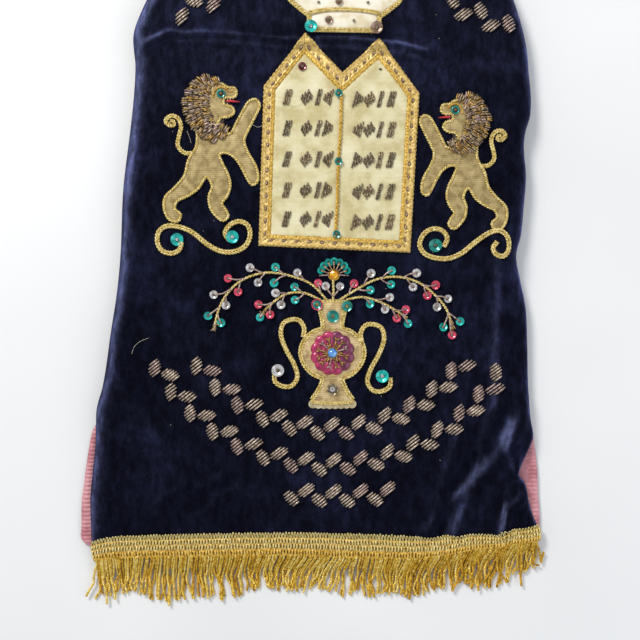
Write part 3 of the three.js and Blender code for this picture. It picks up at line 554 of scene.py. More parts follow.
def velvet_material():
    """Velvet, almost black where it lies flat, with painted sheen: slopes turned toward the left and the top
    are painted pale blue, and all of it is painted paler where seen at a grazing angle.
    """
    s = Shade("velvet_navy", 0.9, Sheen_Weight=0.04, Sheen_Roughness=0.35, Sheen_Tint=(*rgb("6a78d0"), 1),
              Specular_IOR_Level=0.02)
    lie = s.node("ShaderNodeBump", {"Height": s.noise(34, 3, stretch=(1, 0.7, 1), rough=0.6)}, Strength=0.5,
                 Distance=0.006).outputs[0]
    # How far each slope faces the darkest facing; slopes turned away from it, toward the left and the top,
    # get painted sheen as if lit from there
    facing_darkest = s.node("ShaderNodeVectorMath", {0: lie}, operation="DOT_PRODUCT")
    facing_darkest.inputs[1].default_value = DARKEST_FACING
    # Painted sheen: colour by that facing, brightest on slopes turned well away from it, almost black where
    # the cloth lies flat
    sheen_stops = ((0.0, (0.014, 0.0155, 0.03)), (0.24, (0.026, 0.029, 0.053)), (0.42, (0.048, 0.053, 0.094)),
             (0.54, (0.040, 0.044, 0.079)))
    sheen_below = s.ramp(facing_darkest.outputs["Value"], *sheen_stops, (0.68, (0.019, 0.021, 0.040)),
                  (0.79, (0.0092, 0.0102, 0.0208)), (0.88, (0.0056, 0.0062, 0.0125)),
                  (0.95, (0.0038, 0.0042, 0.0090)))
    sheen_above = s.ramp(facing_darkest.outputs["Value"], *sheen_stops, (0.68, (0.033, 0.0365, 0.066)),
                     (0.79, (0.0184, 0.0205, 0.0395)), (0.88, (0.0090, 0.0099, 0.0194)),
                     (0.95, (0.0061, 0.0067, 0.0140)))
    # Between the two lengths the colour goes over to its paler copy toward the top
    paler_above = s.node("ShaderNodeMapRange", {"Value": s.node("ShaderNodeSeparateXYZ", {0: s.place}).outputs[1]})
    paler_above.inputs["From Min"].default_value = (PALER_FROM + SHIFT[1]) / 1000
    paler_above.inputs["From Max"].default_value = (PALER_TO + SHIFT[1]) / 1000
    # The painted sheen, paler toward the top
    turned = s.mix(paler_above.outputs[0], sheen_below, sheen_above)
    # Painted sheen: the colour is multiplied paler where the cloth is seen at a grazing angle
    grazing_sheen = s.ramp(s.node("ShaderNodeLayerWeight", Blend=0.5).outputs["Facing"], (0.1, (1.0, 1.0, 1.0)),
                     (0.5, (1.3, 1.3, 1.4)), (0.9, (1.8, 1.8, 2.0)))
    broad = s.ramp(s.noise(60, 4, rough=0.6), (0.34, (0.75, 0.75, 0.8)), (0.5, (1.0, 1.0, 1.0)),
                   (0.7, (1.9, 1.9, 2.1)))
    marks = s.ramp(s.noise(7, 5, stretch=(1, 0.5, 1), rough=0.65), (0.40, (0.75, 0.75, 0.75)),
                   (0.66, (1.7, 1.75, 1.9)))
    pile = s.ramp(s.noise(0.8, 3), (0.3, (0.6, 0.6, 0.6)), (0.7, (1.45, 1.45, 1.5)))
    color = turned
    for layer in (grazing_sheen, broad, marks, pile):
        color = s.mix(1.0, color, layer, "MULTIPLY")
    s.color(color)
    return s.bump(s.noise(0.7, 3), 0.5, 0.4).made


def weave(name, one, two, stain, roughness, metallic=0.0, size=30, grain=0.6, **more):
    """Plain cloth with fine ribs and soft stains."""
    s = Shade(name, roughness, metallic, **more)
    soft = s.ramp(s.noise(size, 4, rough=0.6), (0.38, rgb(stain)), (0.52, rgb(one)), (0.68, rgb(two)))
    threads = s.node("ShaderNodeTexWave", {"Vector": s.place}, Scale=1000 / grain / 2 / math.pi,
                     Distortion=1.5, bands_direction="Y").outputs["Fac"]
    ribs = s.ramp(threads, (0.0, (0.8, 0.8, 0.78)), (0.6, (1.05, 1.05, 1.05)))
    s.color(s.mix(0.8, soft, ribs, "MULTIPLY"))
    return s.bump(threads, 0.25, 0.15).made


def foil(name, color, light, roughness=0.16, metallic=0.35, **more):
    """Thin shiny plastic, such as a sequin."""
    s = Shade(name, roughness, metallic, Coat_Weight=0.6, Coat_Roughness=0.08, **more)
    s.color(s.ramp(s.noise(3.5, 2), (0.35, rgb(color)), (0.7, rgb(light))))
    return s.bump(s.noise(1.6, 1), 0.15, 0.2).made


NAVY = velvet_material()
PINK = weave("lining_pink", "d48f97", "e3a5ab", "bd747d", 0.55, size=16, Sheen_Weight=0.2)
CREAM = weave("satin_cream", "ded3a6", "eae1bc", "c8b985", 0.5, size=26)
WHITE = weave("satin_white", "f2ead4", "faf5e6", "dfd0ac", 0.42, size=20)
LAME = weave("lame_dull_gold", "ab9562", "bfa974", "8d7848", 0.5, 0.2, size=7, grain=0.9)
VASE_LAME = weave("lame_pale_gold", "ccb07c", "e2ca98", "a4885a", 0.45, 0.25, size=8, grain=0.9)
CORD = thread("cord_pale_gold", "a5853c", "dfc677", "fbeeb6", metallic=0.3)
CORD_DEEP = thread("cord_gold", "9a7020", "d6ac46", "f0ce70", metallic=0.35)
BRAID = thread("braid_gold", "ab8228", "e2b850", "fbdf8c", metallic=0.3)
GALLOON = thread("galloon_gold", "a6863c", "dcba6a", "f6dc9a", metallic=0.3)
BRAID_PALE = thread("braid_pale", "ae9244", "e6d084", "fff0b6", 0.32, 0.3)
# The heading's ground under its stitches, dark brown as painted shade between them
BRAID_GROUND_SHADE = thread("braid_ground_shade", "5c4415", "8f6f28", "b8923a", 0.6, 0.15)
EYELET = thread("eyelet_brown", "6e5228", "8f6f3e", "b0925c", 0.6, 0.1)
STRAND_ONE = thread("strand_gold", "a07408", "eac03c", "ffee9c", 0.3, 0.5, Specular_IOR_Level=0.4)
STRAND_TWO = thread("strand_amber", "865e04", "daa82a", "fcd662", 0.34, 0.5, Specular_IOR_Level=0.4)
STRAND_THREE = thread("strand_light", "be9420", "f8d660", "fff6c0", 0.28, 0.5, Specular_IOR_Level=0.4)
PURL_GREY = thread("purl_grey", "4a3e30", "88745a", "c2ab88", 0.34, 0.4)
PURL_BRONZE = thread("purl_bronze", "5e431a", "a37d40", "dfbf74", 0.32, 0.45)
PURL_DARK = thread("purl_dark", "43372b", "75654f", "a8967c", 0.36, 0.4)
PURL_SILVER = thread("purl_silver", "69574b", "b09c8a", "e2d2c0", 0.32, 0.4)
PURL_LILAC = thread("purl_lilac", "6d5853", "a88f85", "d6c1b2", 0.32, 0.4)
# Dark thread: the mane's pad, painted as shade between the locks, and the small knot's own dark colour
PAD_SHADE_AND_KNOT = thread("mane_pad_shade_and_knot", "2c2620", "4a4036", "6a5c46", 0.7, 0.2)
TEAL = foil("sequin_teal", "00908a", "14d2c4")
TEAL_DEEP = foil("sequin_deep_teal", "006a60", "089c8c")
ROSE = foil("sequin_rose", "c02848", "f05a74")
CLEAR = foil("sequin_clear", "9d9b9c", "e6e4e0", metallic=0.3)
# Darker copies of the sequins' colours, painted as shade in the hollows of their cups
TEAL_SHADE = foil("sequin_teal_shade", "00403e", "00786f")
ROSE_SHADE = foil("sequin_rose_shade", "5c1228", "a02a48")
CLEAR_SHADE = foil("sequin_clear_shade", "5f5c5c", "9c9896")
PEARL = foil("sequin_pearl", "a3946c", "d8c9a2", metallic=0.2)
PLUM = foil("sequin_plum", "4e0f1c", "8a2a38")
BRONZE = foil("sequin_bronze", "7a5c48", "b0907a")
BLUE_STONE = foil("stone_blue", "3f7fd0", "8cc4f4", 0.06, 0.2)
YELLOW_STONE = foil("stone_yellow", "c98200", "ffc21a", 0.06, 0.2)
# The petals' foil in a lit and a shaded copy: painted highlight on one side of the rosette, painted shade on
# the other
PETAL_LIT = foil("petal_lit", "8e1040", "cf3a70", 0.3, 0.25)
PETAL_SHADED = foil("petal_shaded", "5a1738", "93325e", 0.3, 0.25)
TONGUE = foil("tongue_red", "b3121f", "e8303c", 0.4, 0.1)
MOUTH = thread("mouth_dark", "1c0c0e", "3a1a1c", "5a2a2a", 0.7, 0.0)
LOOSE = thread("loose_thread", "c8bfa8", "e0d8c0", "f2ecd8", 0.7, 0.0)

# The velvet front and back, the lining and the top


def in_steps(*spans):
    """Numbers from the first to the last, evenly spaced within each span of start, end and count."""
    return np.concatenate([np.linspace(a, b, n, endpoint=False) for a, b, n in spans] + [[spans[-1][1]]])


# Finer where the velvet is creased: the lower right and the ridge under the crown
ROWS_Y = in_steps((HEM_Y, -98, 80), (-98, 225, 88), (225, 290, 30), (290, 348, 16), (348, TOP_Y, 10))
EDGE_SHARES = 1 - np.array([0, 0.004, 0.010, 0.018, 0.028, 0.04, 0.054, 0.07, 0.088])
SHARES = np.concatenate([-EDGE_SHARES, in_steps((-0.896, 0.54, 92), (0.54, 0.902, 44))[:-1],
                         EDGE_SHARES[::-1]])

velvet = Build()
front_grid = front(SHARES[None, :], ROWS_Y[:, None])
slab(velvet, front_grid, -VELVET / 2, VELVET / 2)
velvet_front = velvet.finish("velvet_front", [NAVY], "velvet", ["front_panel"])


def back_edges(y, inset=0.0):
    """Left and right edge of what lies under the front, at lengths y."""
    below = y < SLIT_TOP_Y
    left, right = follow(LEFT_EDGE, y), follow(RIGHT_EDGE, y)
    left = np.where(below, np.minimum(follow(BACK_LEFT, y), left), left)
    right = np.where(below, np.maximum(follow(BACK_RIGHT, y), right), right)
    return left + inset, right - inset


def flat_cloth(name, bottom, thickness, inset, hem_y, top_y, rows, columns, materials, slot, node, crimp):
    """A cloth that lies flat, with its edges drawn a little uneven by the stitches."""
    low_rows, high_rows = rows
    y = np.concatenate([np.linspace(hem_y, SLIT_TOP_Y + 14, low_rows),
                        np.linspace(SLIT_TOP_Y + 18, top_y, high_rows)])[:, None]
    left, right = back_edges(y, inset(y))
    s = np.linspace(0, 1, columns // 2) ** 1.9
    share = np.concatenate([s / 2, 1 - s[::-1][1:] / 2])[None, :]
    x = left + (right - left) * share
    away = np.minimum(x - left, right - x)
    z = bottom + thickness / 2 + crimp(x, y, away)
    grid = np.stack([x, np.broadcast_to(y, x.shape), z], axis=-1)
    made = Build()
    slab(made, grid, -thickness / 2, thickness / 2)
    return made.finish(name, materials, slot, [node])


velvet_back = flat_cloth("velvet_back", 0.0, VELVET, lambda y: 0 * y, BACK_HEM_Y, TOP_Y, (40, 80), 44, [NAVY],
                         "velvet", "back_panel", lambda x, y, away: 0 * x)
PUCKER = 0.75


def lining_crimp(x, y, away):
    """Small puckers on both sides of the line of stitches near the lining's free edge, where it shows."""
    v = y - follow(HEM_RISE, x) * (1 - smooth(HEM_Y, HEM_FADE_Y, y))
    outside = np.maximum(follow(LEFT_EDGE, v) - x, x - follow(RIGHT_EDGE, v))
    stitched = np.exp(-((away - 6.4) / 0.9) ** 2)
    gathers = np.sin(y * 2 * math.pi / 3.9 + 1.3 * np.sin(y / 11)) * np.exp(-((away - 5.5) / 5.5) ** 2)
    soft = 0.3 * np.sin(y / 6.5 + away / 3)
    crimp = 1.15 * np.minimum(away / 2.5, 1) - 0.8 * stitched + PUCKER * gathers + soft
    return crimp * smooth(-1.5, 2.5, outside)


LINING_INSET, LINING_SEAM = 0.35, 14
lining_pink = flat_cloth(
    "lining_pink", VELVET + GAP, LINING,
    lambda y: LINING_INSET + (LINING_SEAM - LINING_INSET) * smooth(SLIT_TOP_Y - 6, SLIT_TOP_Y + 8, y),
    BACK_HEM_Y + LINING_INSET, TOP_Y - LINING_SEAM, (170, 70), 64, [PINK], "lining", "lining", lining_crimp)

top_left = float(follow(LEFT_EDGE, TOP_PIECE_Y + VELVET)) + 4
top_right = float(follow(RIGHT_EDGE, TOP_PIECE_Y + VELVET)) - 4
HOLE_SPACING, HOLE_WIDTH, HOLE_HEIGHT, HOLE_Z, HOLE_POINTS = 140, 56, 17, 15.5, 48


def top_outline():
    """The top piece in elevation: its outline, with the two oval openings, and the openings' centres."""
    x = np.linspace(top_left, top_right, 100)
    left, right = follow(LEFT_EDGE, TOP_PIECE_Y), follow(RIGHT_EDGE, TOP_PIECE_Y)
    crest = front(np.clip(2 * (x - left) / (right - left) - 1, -1, 1), TOP_PIECE_Y + 1)[:, 2]
    crest = crest - VELVET / 2 - 2 * GAP - 0.3
    foot = VELVET + GAP
    outline = [*zip(x, np.maximum(crest, foot + 0.5)), (top_right, foot), (top_left, foot)]
    edges = [(i, (i + 1) % len(outline)) for i in range(len(outline))]
    holes = [(top_left + top_right + way * HOLE_SPACING) / 2 for way in (-1, 1)]
    for centre in holes:
        start = len(outline)
        for a in -np.arange(HOLE_POINTS) / HOLE_POINTS * 2 * math.pi:
            outline.append((centre + HOLE_WIDTH / 2 * math.cos(a), HOLE_Z + HOLE_HEIGHT / 2 * math.sin(a)))
        edges += [(start + k, start + (k + 1) % HOLE_POINTS) for k in range(HOLE_POINTS)]
    return outline, edges, holes


def top_cover():
    """The soft piece across the top, with an oval opening for each handle."""
    made = Build()
    outline, edges, holes = top_outline()
    flat, faces = filled(outline, edges)
    middle = flat[faces].mean(1)
    in_hole = np.zeros(len(faces), bool)
    for centre in holes:
        across, up = (middle[:, 0] - centre) / (HOLE_WIDTH / 2), (middle[:, 1] - HOLE_Z) / (HOLE_HEIGHT / 2)
        in_hole |= across ** 2 + up ** 2 < 1
    near, far = (np.column_stack([flat[:, 0], np.full(len(flat), y), flat[:, 1]])
                 for y in (TOP_PIECE_Y, TOP_PIECE_Y + VELVET))
    closed_form(made, near, far, faces[~in_hole])
    a = np.linspace(0, 2 * math.pi, 60)[:-1]
    for centre in holes:
        rim = np.stack([centre + (HOLE_WIDTH / 2 + 1) * np.cos(a),
                        np.full(len(a), TOP_PIECE_Y + VELVET + 0.4),
                        HOLE_Z + (HOLE_HEIGHT / 2 + 1) * np.sin(a)], axis=1)
        cord(made, rim, 1.0, 4.0, kind=1, up=(0, 1, 0), closed=True)
    return made.finish("velvet_top", [NAVY, CORD], "velvet", ["top_piece"])


velvet_top = top_cover()

# The hem's line, along which heading and fringe run
HEM_INSET = 3.0
hem_u = np.linspace(-1, 1, 1200)
hem_points = front(hem_u, HEM_Y)
hem_along = np.concatenate([[0], np.cumsum(np.linalg.norm(np.diff(hem_points, axis=0), axis=1))])
HEM_FROM, HEM_TO = HEM_INSET, hem_along[-1] - HEM_INSET

# Width of the heading along the hem, by the place across in plan
HEADING_WIDTH = [
    (-217, 18.6), (-204, 21), (-185, 22.5), (-25, 24), (60, 24), (100, 22.5), (118, 20.5), (148, 18.4),
    (166, 15.5), (175, 14.5), (182, 18.5), (196, 18), (210, 17),
]
NOMINAL_HEADING = 23.5
HEM_HALF = 213

# Rows of stitches: from and to in the width, lean, bulge, kind of thread, radius
HEADING_ROWS = [
    (12.8, 18.0, 1.5, 0.9, 1, 0.86), (7.5, 13.0, 1.6, 0.9, 1, 0.86), (8.6, 12.8, -0.9, 0.5, 0, 0.6),
    (13.6, 17.8, -0.9, 0.5, 0, 0.6), (1.6, 8.0, 1.5, 0.9, 0, 0.9), (1.2, 7.2, -1.6, 0.5, 2, 0.8),
]
CHAIN_ROWS = (7.6, 12.9, 17.9)
STITCH_PITCH = 2.8
LOOP_LOW, LOOP_TOP, LOOP_HALF, LOOP_THREAD = 17.2, 23.4, 0.92, 0.46


def on_hem(s, t, lift):
    """A point s along the hem and t up from it, lifted off the velvet."""
    u = np.interp(s, hem_along, hem_u)
    v = HEM_Y + np.asarray(t, float) * follow(HEADING_WIDTH, u * HEM_HALF) / NOMINAL_HEADING
    p = front(u, v)
    across = front(np.clip(u + 0.002, -1, 1), v) - front(np.clip(u - 0.002, -1, 1), v)
    along = front(u, v + 1) - front(u, v - 1 * (v > HEM_Y + 1))
    normal = np.cross(across, along)
    normal /= np.maximum(np.linalg.norm(normal, axis=-1, keepdims=True), TINY)
    return p + normal * (VELVET / 2 + np.asarray(lift, float)[..., None])


def heading():
    """An openwork crochet heading: a ground of thread coloured dark as painted shade between the stitches,
    two pale rows, a deeper row, and a row of open loops.
    """
    made = Build()
    ground_s = np.linspace(HEM_FROM, HEM_TO, 260)
    ground_t = np.array([0.2, 1.5, 4.5, 8, 12, 16.8])
    strip = on_hem(ground_s[None, :], ground_t[:, None], np.full((len(ground_t), len(ground_s)), 0.35))
    # The ground strip under the rows takes the dark material: painted shade seen between the stitches
    slab(made, strip, -0.25, 0.3, 3)
    count = int((HEM_TO - HEM_FROM) / STITCH_PITCH)
    s = np.linspace(HEM_FROM + 1, HEM_TO - 1, count)[:, None]
    share = np.linspace(0, 1, 6)[None, :]
    for low, high, lean, bulge, kind, radius in HEADING_ROWS:
        wobble = chance.normal(0, 0.22, (count, 1))
        tall = chance.normal(0, 0.25, (count, 1))
        stitch = on_hem(s + wobble + lean * (share - 0.5), low + tall * 0.4 + (high - low + tall) * share,
                        0.9 + bulge * np.sin(np.pi * share) + 0 * s)
        rods(made, stitch, radius, 5, kind)
    s = np.linspace(HEM_FROM + 2, HEM_TO - 2, count)[:, None]
    a = np.linspace(-0.15, math.pi + 0.15, 13)[None, :]
    high = chance.normal(LOOP_TOP, 0.35, (count, 1))
    wide = chance.normal(LOOP_HALF, 0.06, (count, 1))
    up = LOOP_LOW + (high - LOOP_LOW) * np.sin(np.clip(a, 0, math.pi)) ** 0.7
    over = np.clip(s - wide * np.cos(a) + 0.14 * (up - LOOP_LOW), HEM_FROM, HEM_TO)
    rods(made, on_hem(over, up, 0.9 + 0.6 * np.sin(a) + 0 * s), LOOP_THREAD, 5, 1)
    line = np.linspace(HEM_FROM, HEM_TO, 900)
    for t in CHAIN_ROWS:
        lift = 1.0 + 0.35 * np.sin(line * 2 * math.pi / STITCH_PITCH)
        chain = on_hem(line, t + 0.25 * np.sin(line / 7), lift)
        cord(made, chain, 0.75, 3.2, kind=0, sides=4, step=0.55)
    for end in (HEM_FROM + 0.6, HEM_TO - 0.6):
        cord(made, on_hem(np.full(30, end), np.linspace(0.5, 20.5, 30), np.full(30, 0.9)), 0.9, 3.2, kind=0)
    return made.finish("heading", [BRAID, BRAID_PALE, STRAND_TWO, BRAID_GROUND_SHADE], "braid", ["hem_braid"])


heading_piece = heading()

# How the strands lie: share of the hem, lean halfway, lean at the tip, reach
STRAND_LIE = [
    (0, -0.5, -1, 36), (0.04, -0.5, 0, 36), (0.07, -2, -3, 33), (0.12, -4.5, -7, 38), (0.155, -3, -4, 45),
    (0.2, -3, -2.5, 42), (0.265, -3.5, -1, 41), (0.32, -4, 0, 39), (0.365, -5.5, -2, 33),
    (0.43, -8, -7.5, 35),
    (0.5, -10, -12.5, 33), (0.55, -9, -13, 34), (0.61, -2.5, -1, 37), (0.65, -3.5, -3, 36),
    (0.68, -5, -4, 34),
    (0.74, -8, -8.5, 39), (0.78, -8, -7, 35), (0.84, -7, -7, 33), (0.91, -9, -12.5, 40), (0.95, -7, -9, 38),
    (1, -1.5, -2, 24),
]
# Strands that cross the others: share of the hem, lean halfway, lean at the tip, reach
CROSSING = [
    (0.0, -5, -11, 35), (0.015, -1, 2.5, 44), (0.03, 1, 5, 41), (0.9, 4, 12, 35), (0.86, 2, 3, 41),
    (0.82, 4, -7, 38), (0.995, 6, 9, 12), (0.985, 3, 9, 24), (0.955, 4, 5, 42), (0.7, 5, 2, 40),
    (0.74, 5, 9, 31), (0.79, 4, 7, 36), (0.88, -11, -17, 35), (0.925, -12, -20, 37),
]
FLOOR = 0.3
STRANDS = 196
STRAND_RADIUS, STRAND_TWIST = 1.42, 4.8


def strand(made, share, steady, half, tip, reach, level, kind, curl=0.0):
    """One twisted strand from under the heading down to the floor."""
    s = HEM_FROM + 1.5 + share * (HEM_TO - HEM_FROM - 3)
    x, y, z = on_hem(np.array([s]), np.array([0.5]), np.array([-VELVET / 2]))[0]
    low = FLOOR + STRAND_RADIUS + level
    drop = max(0.0, z - low)
    sway = chance.normal(0, 1.0, 3)
    line = spline([
        (x - 0.3 - 0.03 * steady, y + 1.6, z + 2.6),
        (x + steady * 0.1, y - 2.0, z + 1.1 - 0.06 * drop),
        (x + steady * 0.45 + half * 0.1, y - 9, low + drop * 0.62),
        (x + steady * 0.4 + half * 0.5 + 0.6 * sway[0], y - 16.5, low + drop * 0.14),
        (x + half + curl, y - 22.5, low),
        (x + (half + tip) / 2 + curl + sway[1], y - (22.5 + reach) / 2, low),
        (x + tip + 0.8 * sway[2], y - reach, low),
    ], per=8)
    cord(made, line, STRAND_RADIUS, STRAND_TWIST, sides=4, kind=kind, step=0.76, up=(1, 0, 0.01),
         turned=chance.uniform(0, 6.28))


def fringe():
    """The twisted strands along the hem, and those that lie across their neighbours."""
    made = Build()
    lie = [follow([(r[0], r[k]) for r in STRAND_LIE], np.linspace(0, 1, STRANDS)) for k in (1, 2, 3)]
    for i, (half, tip, reach) in enumerate(zip(*lie)):
        loose = chance.normal(0, 1, 4)
        share = np.clip(i / (STRANDS - 1) + chance.normal(0, 0.0012), 0, 1)
        strand(made, share, half, half + 1.6 * loose[0], tip + 2.4 * loose[1] + 0.9 * loose[0],
               reach + 2.0 * loose[2], 1.9 * (i % 3) / 2, int(chance.integers(0, 3)), curl=1.1 * loose[3])
    for share, half, tip, reach in CROSSING:
        strand(made, share, half, half, tip, reach, 2.9, 2 if share < 0.5 else 1)
    return made.finish("fringe_strands", [STRAND_ONE, STRAND_TWO, STRAND_THREE], "fringe", ["fringe"])


fringe_piece = fringe()


# Small things that are sewn on
SEQUIN = 0.18


def disc(build, x, y, radius, kind, height=1.2, cup=0.9, hole=0.16, tilt=0.0, facing=0.0, facets=14, rings=5,
         middle=None):
    """A cupped sequin: a thin faceted dish with a hole. Its inner ring may take a kind of its own, a darker
    copy of its colour painted as shade in the cup.
    """
    share = np.linspace(hole, 1, rings)[:, None]
    a = np.arange(facets) / facets * 2 * math.pi + facing
    px, py = share * radius * np.cos(a), share * radius * np.sin(a)
    pz = ground(x, y) + height + cup * share ** 2 + tilt * (px * math.cos(facing) + py * math.sin(facing))
    low = np.stack([x + px, y + py, pz], axis=-1)
    top = low + [0, 0, SEQUIN]
    n = rings * facets
    k = np.arange(facets)
    after = (k + 1) % facets
    row = np.arange(rings - 1)[:, None] * facets
    up = np.stack([row + k, row + facets + k, row + facets + after, row + after], axis=-1).reshape(-1, 4)
    last = (rings - 1) * facets
    outer = np.stack([last + k, last + k + n, last + after + n, last + after], axis=-1)
    inner = np.stack([k, after, after + n, k + n], axis=-1)
    faces = np.concatenate([up, up[:, ::-1] + n, outer, inner])
    kinds = np.full(len(faces), kind)
    # The inner ring takes the darker kind: painted shade in the cup's hollow
    if middle is not None:
        kinds[:facets * ((rings - 1) // 3)] = middle
    build.add(np.concatenate([top.reshape(-1, 3), low.reshape(-1, 3)]), faces, kinds)


def bead(build, x, y, radius, height, kind, sides=8):
    """A small ring bead over a hole."""
    a = np.arange(sides + 1) / sides * 2 * math.pi
    ring = np.stack([x + radius * np.cos(a), y + radius * np.sin(a),
                     np.full(sides + 1, ground(x, y) + height)], axis=1)
    rods(build, ring, radius * 0.55, 5, kind)


def chip(build, ax, ay, bx, by, radius, height, kind, bow=0.5):
    """Short pieces of coiled wire from a to b, arched over the cloth. Arrays make many at once."""
    a, b = (np.stack(np.broadcast_arrays(*np.atleast_1d(*pair)), axis=-1)[:, None].astype(float)
            for pair in ((ax, ay), (bx, by)))
    t = np.linspace(0, 1, 5)[:, None]
    lines = laid(a + (b - a) * t, radius + height + bow * np.sin(np.pi * t[:, 0]))
    rods(build, lines, radius * np.array([0.78, 1, 1, 1, 0.78])[None], 5, kind)


def dash(build, x, y, reach, angle, *rest, **more):
    """One piece of coiled wire, given by its middle, half its length and its direction."""
    chip(build, *toward(x, y, -reach, angle), *toward(x, y, reach, angle), *rest, **more)


def stone(build, x, y, radius, kind, height=0.6, setting=0):
    """A faceted glass stone in a thin twisted setting."""
    z = ground(x, y) + height
    facets = 8
    rows = ((1.0, 0.0, 0), (1.0, 0.5, 0), (0.78, 1.6, 0.5), (0.45, 2.3, 0))
    points = [(*toward(x, y, radius * share, (k + shift) / facets * 2 * math.pi), z + up)
              for share, up, shift in rows for k in range(facets)]
    faces = []
    for j in range(len(rows) - 1):
        for k in range(facets):
            a, b = j * facets + k, j * facets + (k + 1) % facets
            faces += [(a, b, a + facets), (b, b + facets, a + facets)]
    start = build.count
    build.add(points, faces, kind)
    top = np.arange(facets) + start + (len(rows) - 1) * facets
    build.join([top, np.arange(facets)[::-1] + start], kind)
    a = np.linspace(0, 2 * math.pi, 40)[:-1]
    ring = np.stack([x + (radius + 0.4) * np.cos(a), y + (radius + 0.4) * np.sin(a),
                     np.full(len(a), z + 0.5)], axis=1)
    cord(build, ring, 0.6, 2.2, sides=4, kind=setting, closed=True, step=0.5)


def from_photo(px, py, lift=2.5):
    """A place measured in the picture's pixels, in the drawing's millimetres."""
    x, y = (px - 320) * 0.94, (320 - py) * 0.94
    for _ in range(3):
        scale = 0.94 * (980 - ground(x, y) - lift) / 954
        x, y = (px - 320) * scale, (320 - py) * scale
    return x, y


# The twin tablets
TABLETS = {"x": 17, "y": 143, "turn": -2.6}
FOOT_HALF, SHOULDER_HALF, FOOT, SHOULDER, PEAK, VALLEY, BAND = 71.3, 73, -76.6, 73, 124, 89, 11


# Creases of the fields: height, half width, line in plan
FIELD_CREASES = [
    (0.35, 2.5, [(-20, 190), (0, 176), (12, 181)]), (0.4, 2, [(35, 172), (52, 178), (70, 179)]),
    (0.3, 2.5, [(28, 95), (36, 110), (33, 128)]), (0.3, 3, [(-30, 118), (-12, 110), (6, 114)]),
]
BORDER_STEP, EYELET_PITCH, EYELET_HALF = 0.95, 11.8, 2.6
BORDER_SHARES = np.array([0, 0.04, 0.09, 0.15, 0.22, 0.3, 0.36, 0.42, 0.5, 0.58, 0.64, 0.7, 0.78, 0.85, 0.91,
                          0.96, 1])


def gabled(inset):
    """The twin tablets' outline, that much inside their outer edge."""
    slope = (PEAK - SHOULDER) / (SHOULDER_HALF / 2)
    drop = inset * (math.hypot(1, slope) - slope)
    gable = inset * math.hypot(1, slope)
    ridge = SHOULDER_HALF / 2
    right_ridge, right_peak = ridge - 3.5, PEAK - 2
    return np.array([
        [-FOOT_HALF + inset, FOOT + inset], [FOOT_HALF - inset, FOOT + inset],
        [SHOULDER_HALF - inset, SHOULDER - drop], [right_ridge, right_peak - gable], [0, VALLEY - gable],
        [-ridge, PEAK - gable], [-SHOULDER_HALF + inset, SHOULDER - drop],
    ])


def tablet_fields():
    """The two satin fields, with a few soft creases."""
    made = Build()
    loop = drawn(gabled(BAND - 1.2), TABLETS, 2.5, True, False)

    def height(x, y, away):
        crease = sum(tall * np.exp(-(distance_to(path, x, y) / width) ** 2)
                     for tall, width, path in FIELD_CREASES)
        soft = 0.25 * np.sin(x / 9 + 0.7 * np.sin(y / 14)) * np.sin(y / 11 + 1)
        return 1.2 * np.minimum(1, away / 2 + 0.4) + (soft + crease) * np.minimum(1, away / 6)

    patch(made, loop, 2.6, height)
    return made.finish("tablets_fields", [CREAM], "satin", ["tablets_satin"]), abs(area_of(loop))


def border_relief(along, t, hole, between):
    """How high the woven border stands: ribs, two raised edges, and dips at the eyelets."""
    ribs = 0.2 * np.sin(along * 2 * math.pi / 1.9 + 1.2 * np.sign(t) + 1.3 * np.abs(t))
    edges = 0.5 * np.exp(-((t + 4.1) / 0.8) ** 2) + 0.5 * np.exp(-((np.abs(t) - 2.5) / 0.5) ** 2)
    edges = edges + (0.3 + 0.35 * np.sin(along * 2 * math.pi / 2.9)) * np.exp(-((t - 4.3) / 0.9) ** 2)
    lip = 0.35 * np.exp(-((np.sqrt(hole) - 1.3) / 0.25) ** 2)
    dip = -0.8 * np.exp(-(hole / 0.8) ** 2) - 0.45 * np.exp(-between ** 2)
    return 1.75 + ribs + edges + lip + dip - 0.9 * (np.abs(t) / 5.5) ** 14


def border_side(made, number, a, b, c, d):
    """One straight side of the woven border, from a to b outside and from d to c inside."""
    start, end = (a + d) / 2, (b + c) / 2
    long = math.dist(start, end)
    s = np.linspace(0, 1, int(long / BORDER_STEP) + 1)[:, None]
    one, two = a + (b - a) * s, d + (c - d) * s
    shares = BORDER_SHARES[None, :]
    grid = one[:, None] * (1 - shares)[..., None] + two[:, None] * shares[..., None]
    along = s * long
    eyelets = max(2, round(long / EYELET_PITCH))
    phase = (s * eyelets) % 1 - 0.5
    t = (shares - 0.5) * BAND
    hole = (phase * long / eyelets / EYELET_HALF) ** 2 + (t / 1.5) ** 2
    between = ((np.abs(phase) - 0.5) * long / eyelets / 0.9) ** 2 + (t / 0.8) ** 2
    out_way = (one - two) / np.linalg.norm(one - two, axis=1)[:, None]
    picot = (0.75 * np.abs(np.sin(along * math.pi / 3.9)) - 0.3) * np.exp(-shares * 12)
    ruffle = 0.5 * np.sin(along * 2 * math.pi / 5.7 + number) * np.exp(-(1 - shares) * 12)
    grid += out_way[:, None] * (picot + ruffle)[..., None]
    height = border_relief(along, t, hole, between)
    in_hole = (hole[:-1, :-1] < 0.95) | (between[:-1, :-1] < 0.8)
    kinds = np.where(in_hole, 1, np.where(shares[:, :-1] > 0.69, 2, 0))
    closed_grid(made, laid(grid, 0.1 + 0 * height)[:, ::-1], laid(grid, height)[:, ::-1],
                kinds[:, ::-1].ravel(), 2)
    angle = math.atan2(*(end - start)[::-1])
    for share in (np.arange(eyelets) + 0.5) / eyelets:
        dash(made, *(start + (end - start) * share), EYELET_HALF / 2, angle, 0.85, 0.9, 3, bow=0.3)


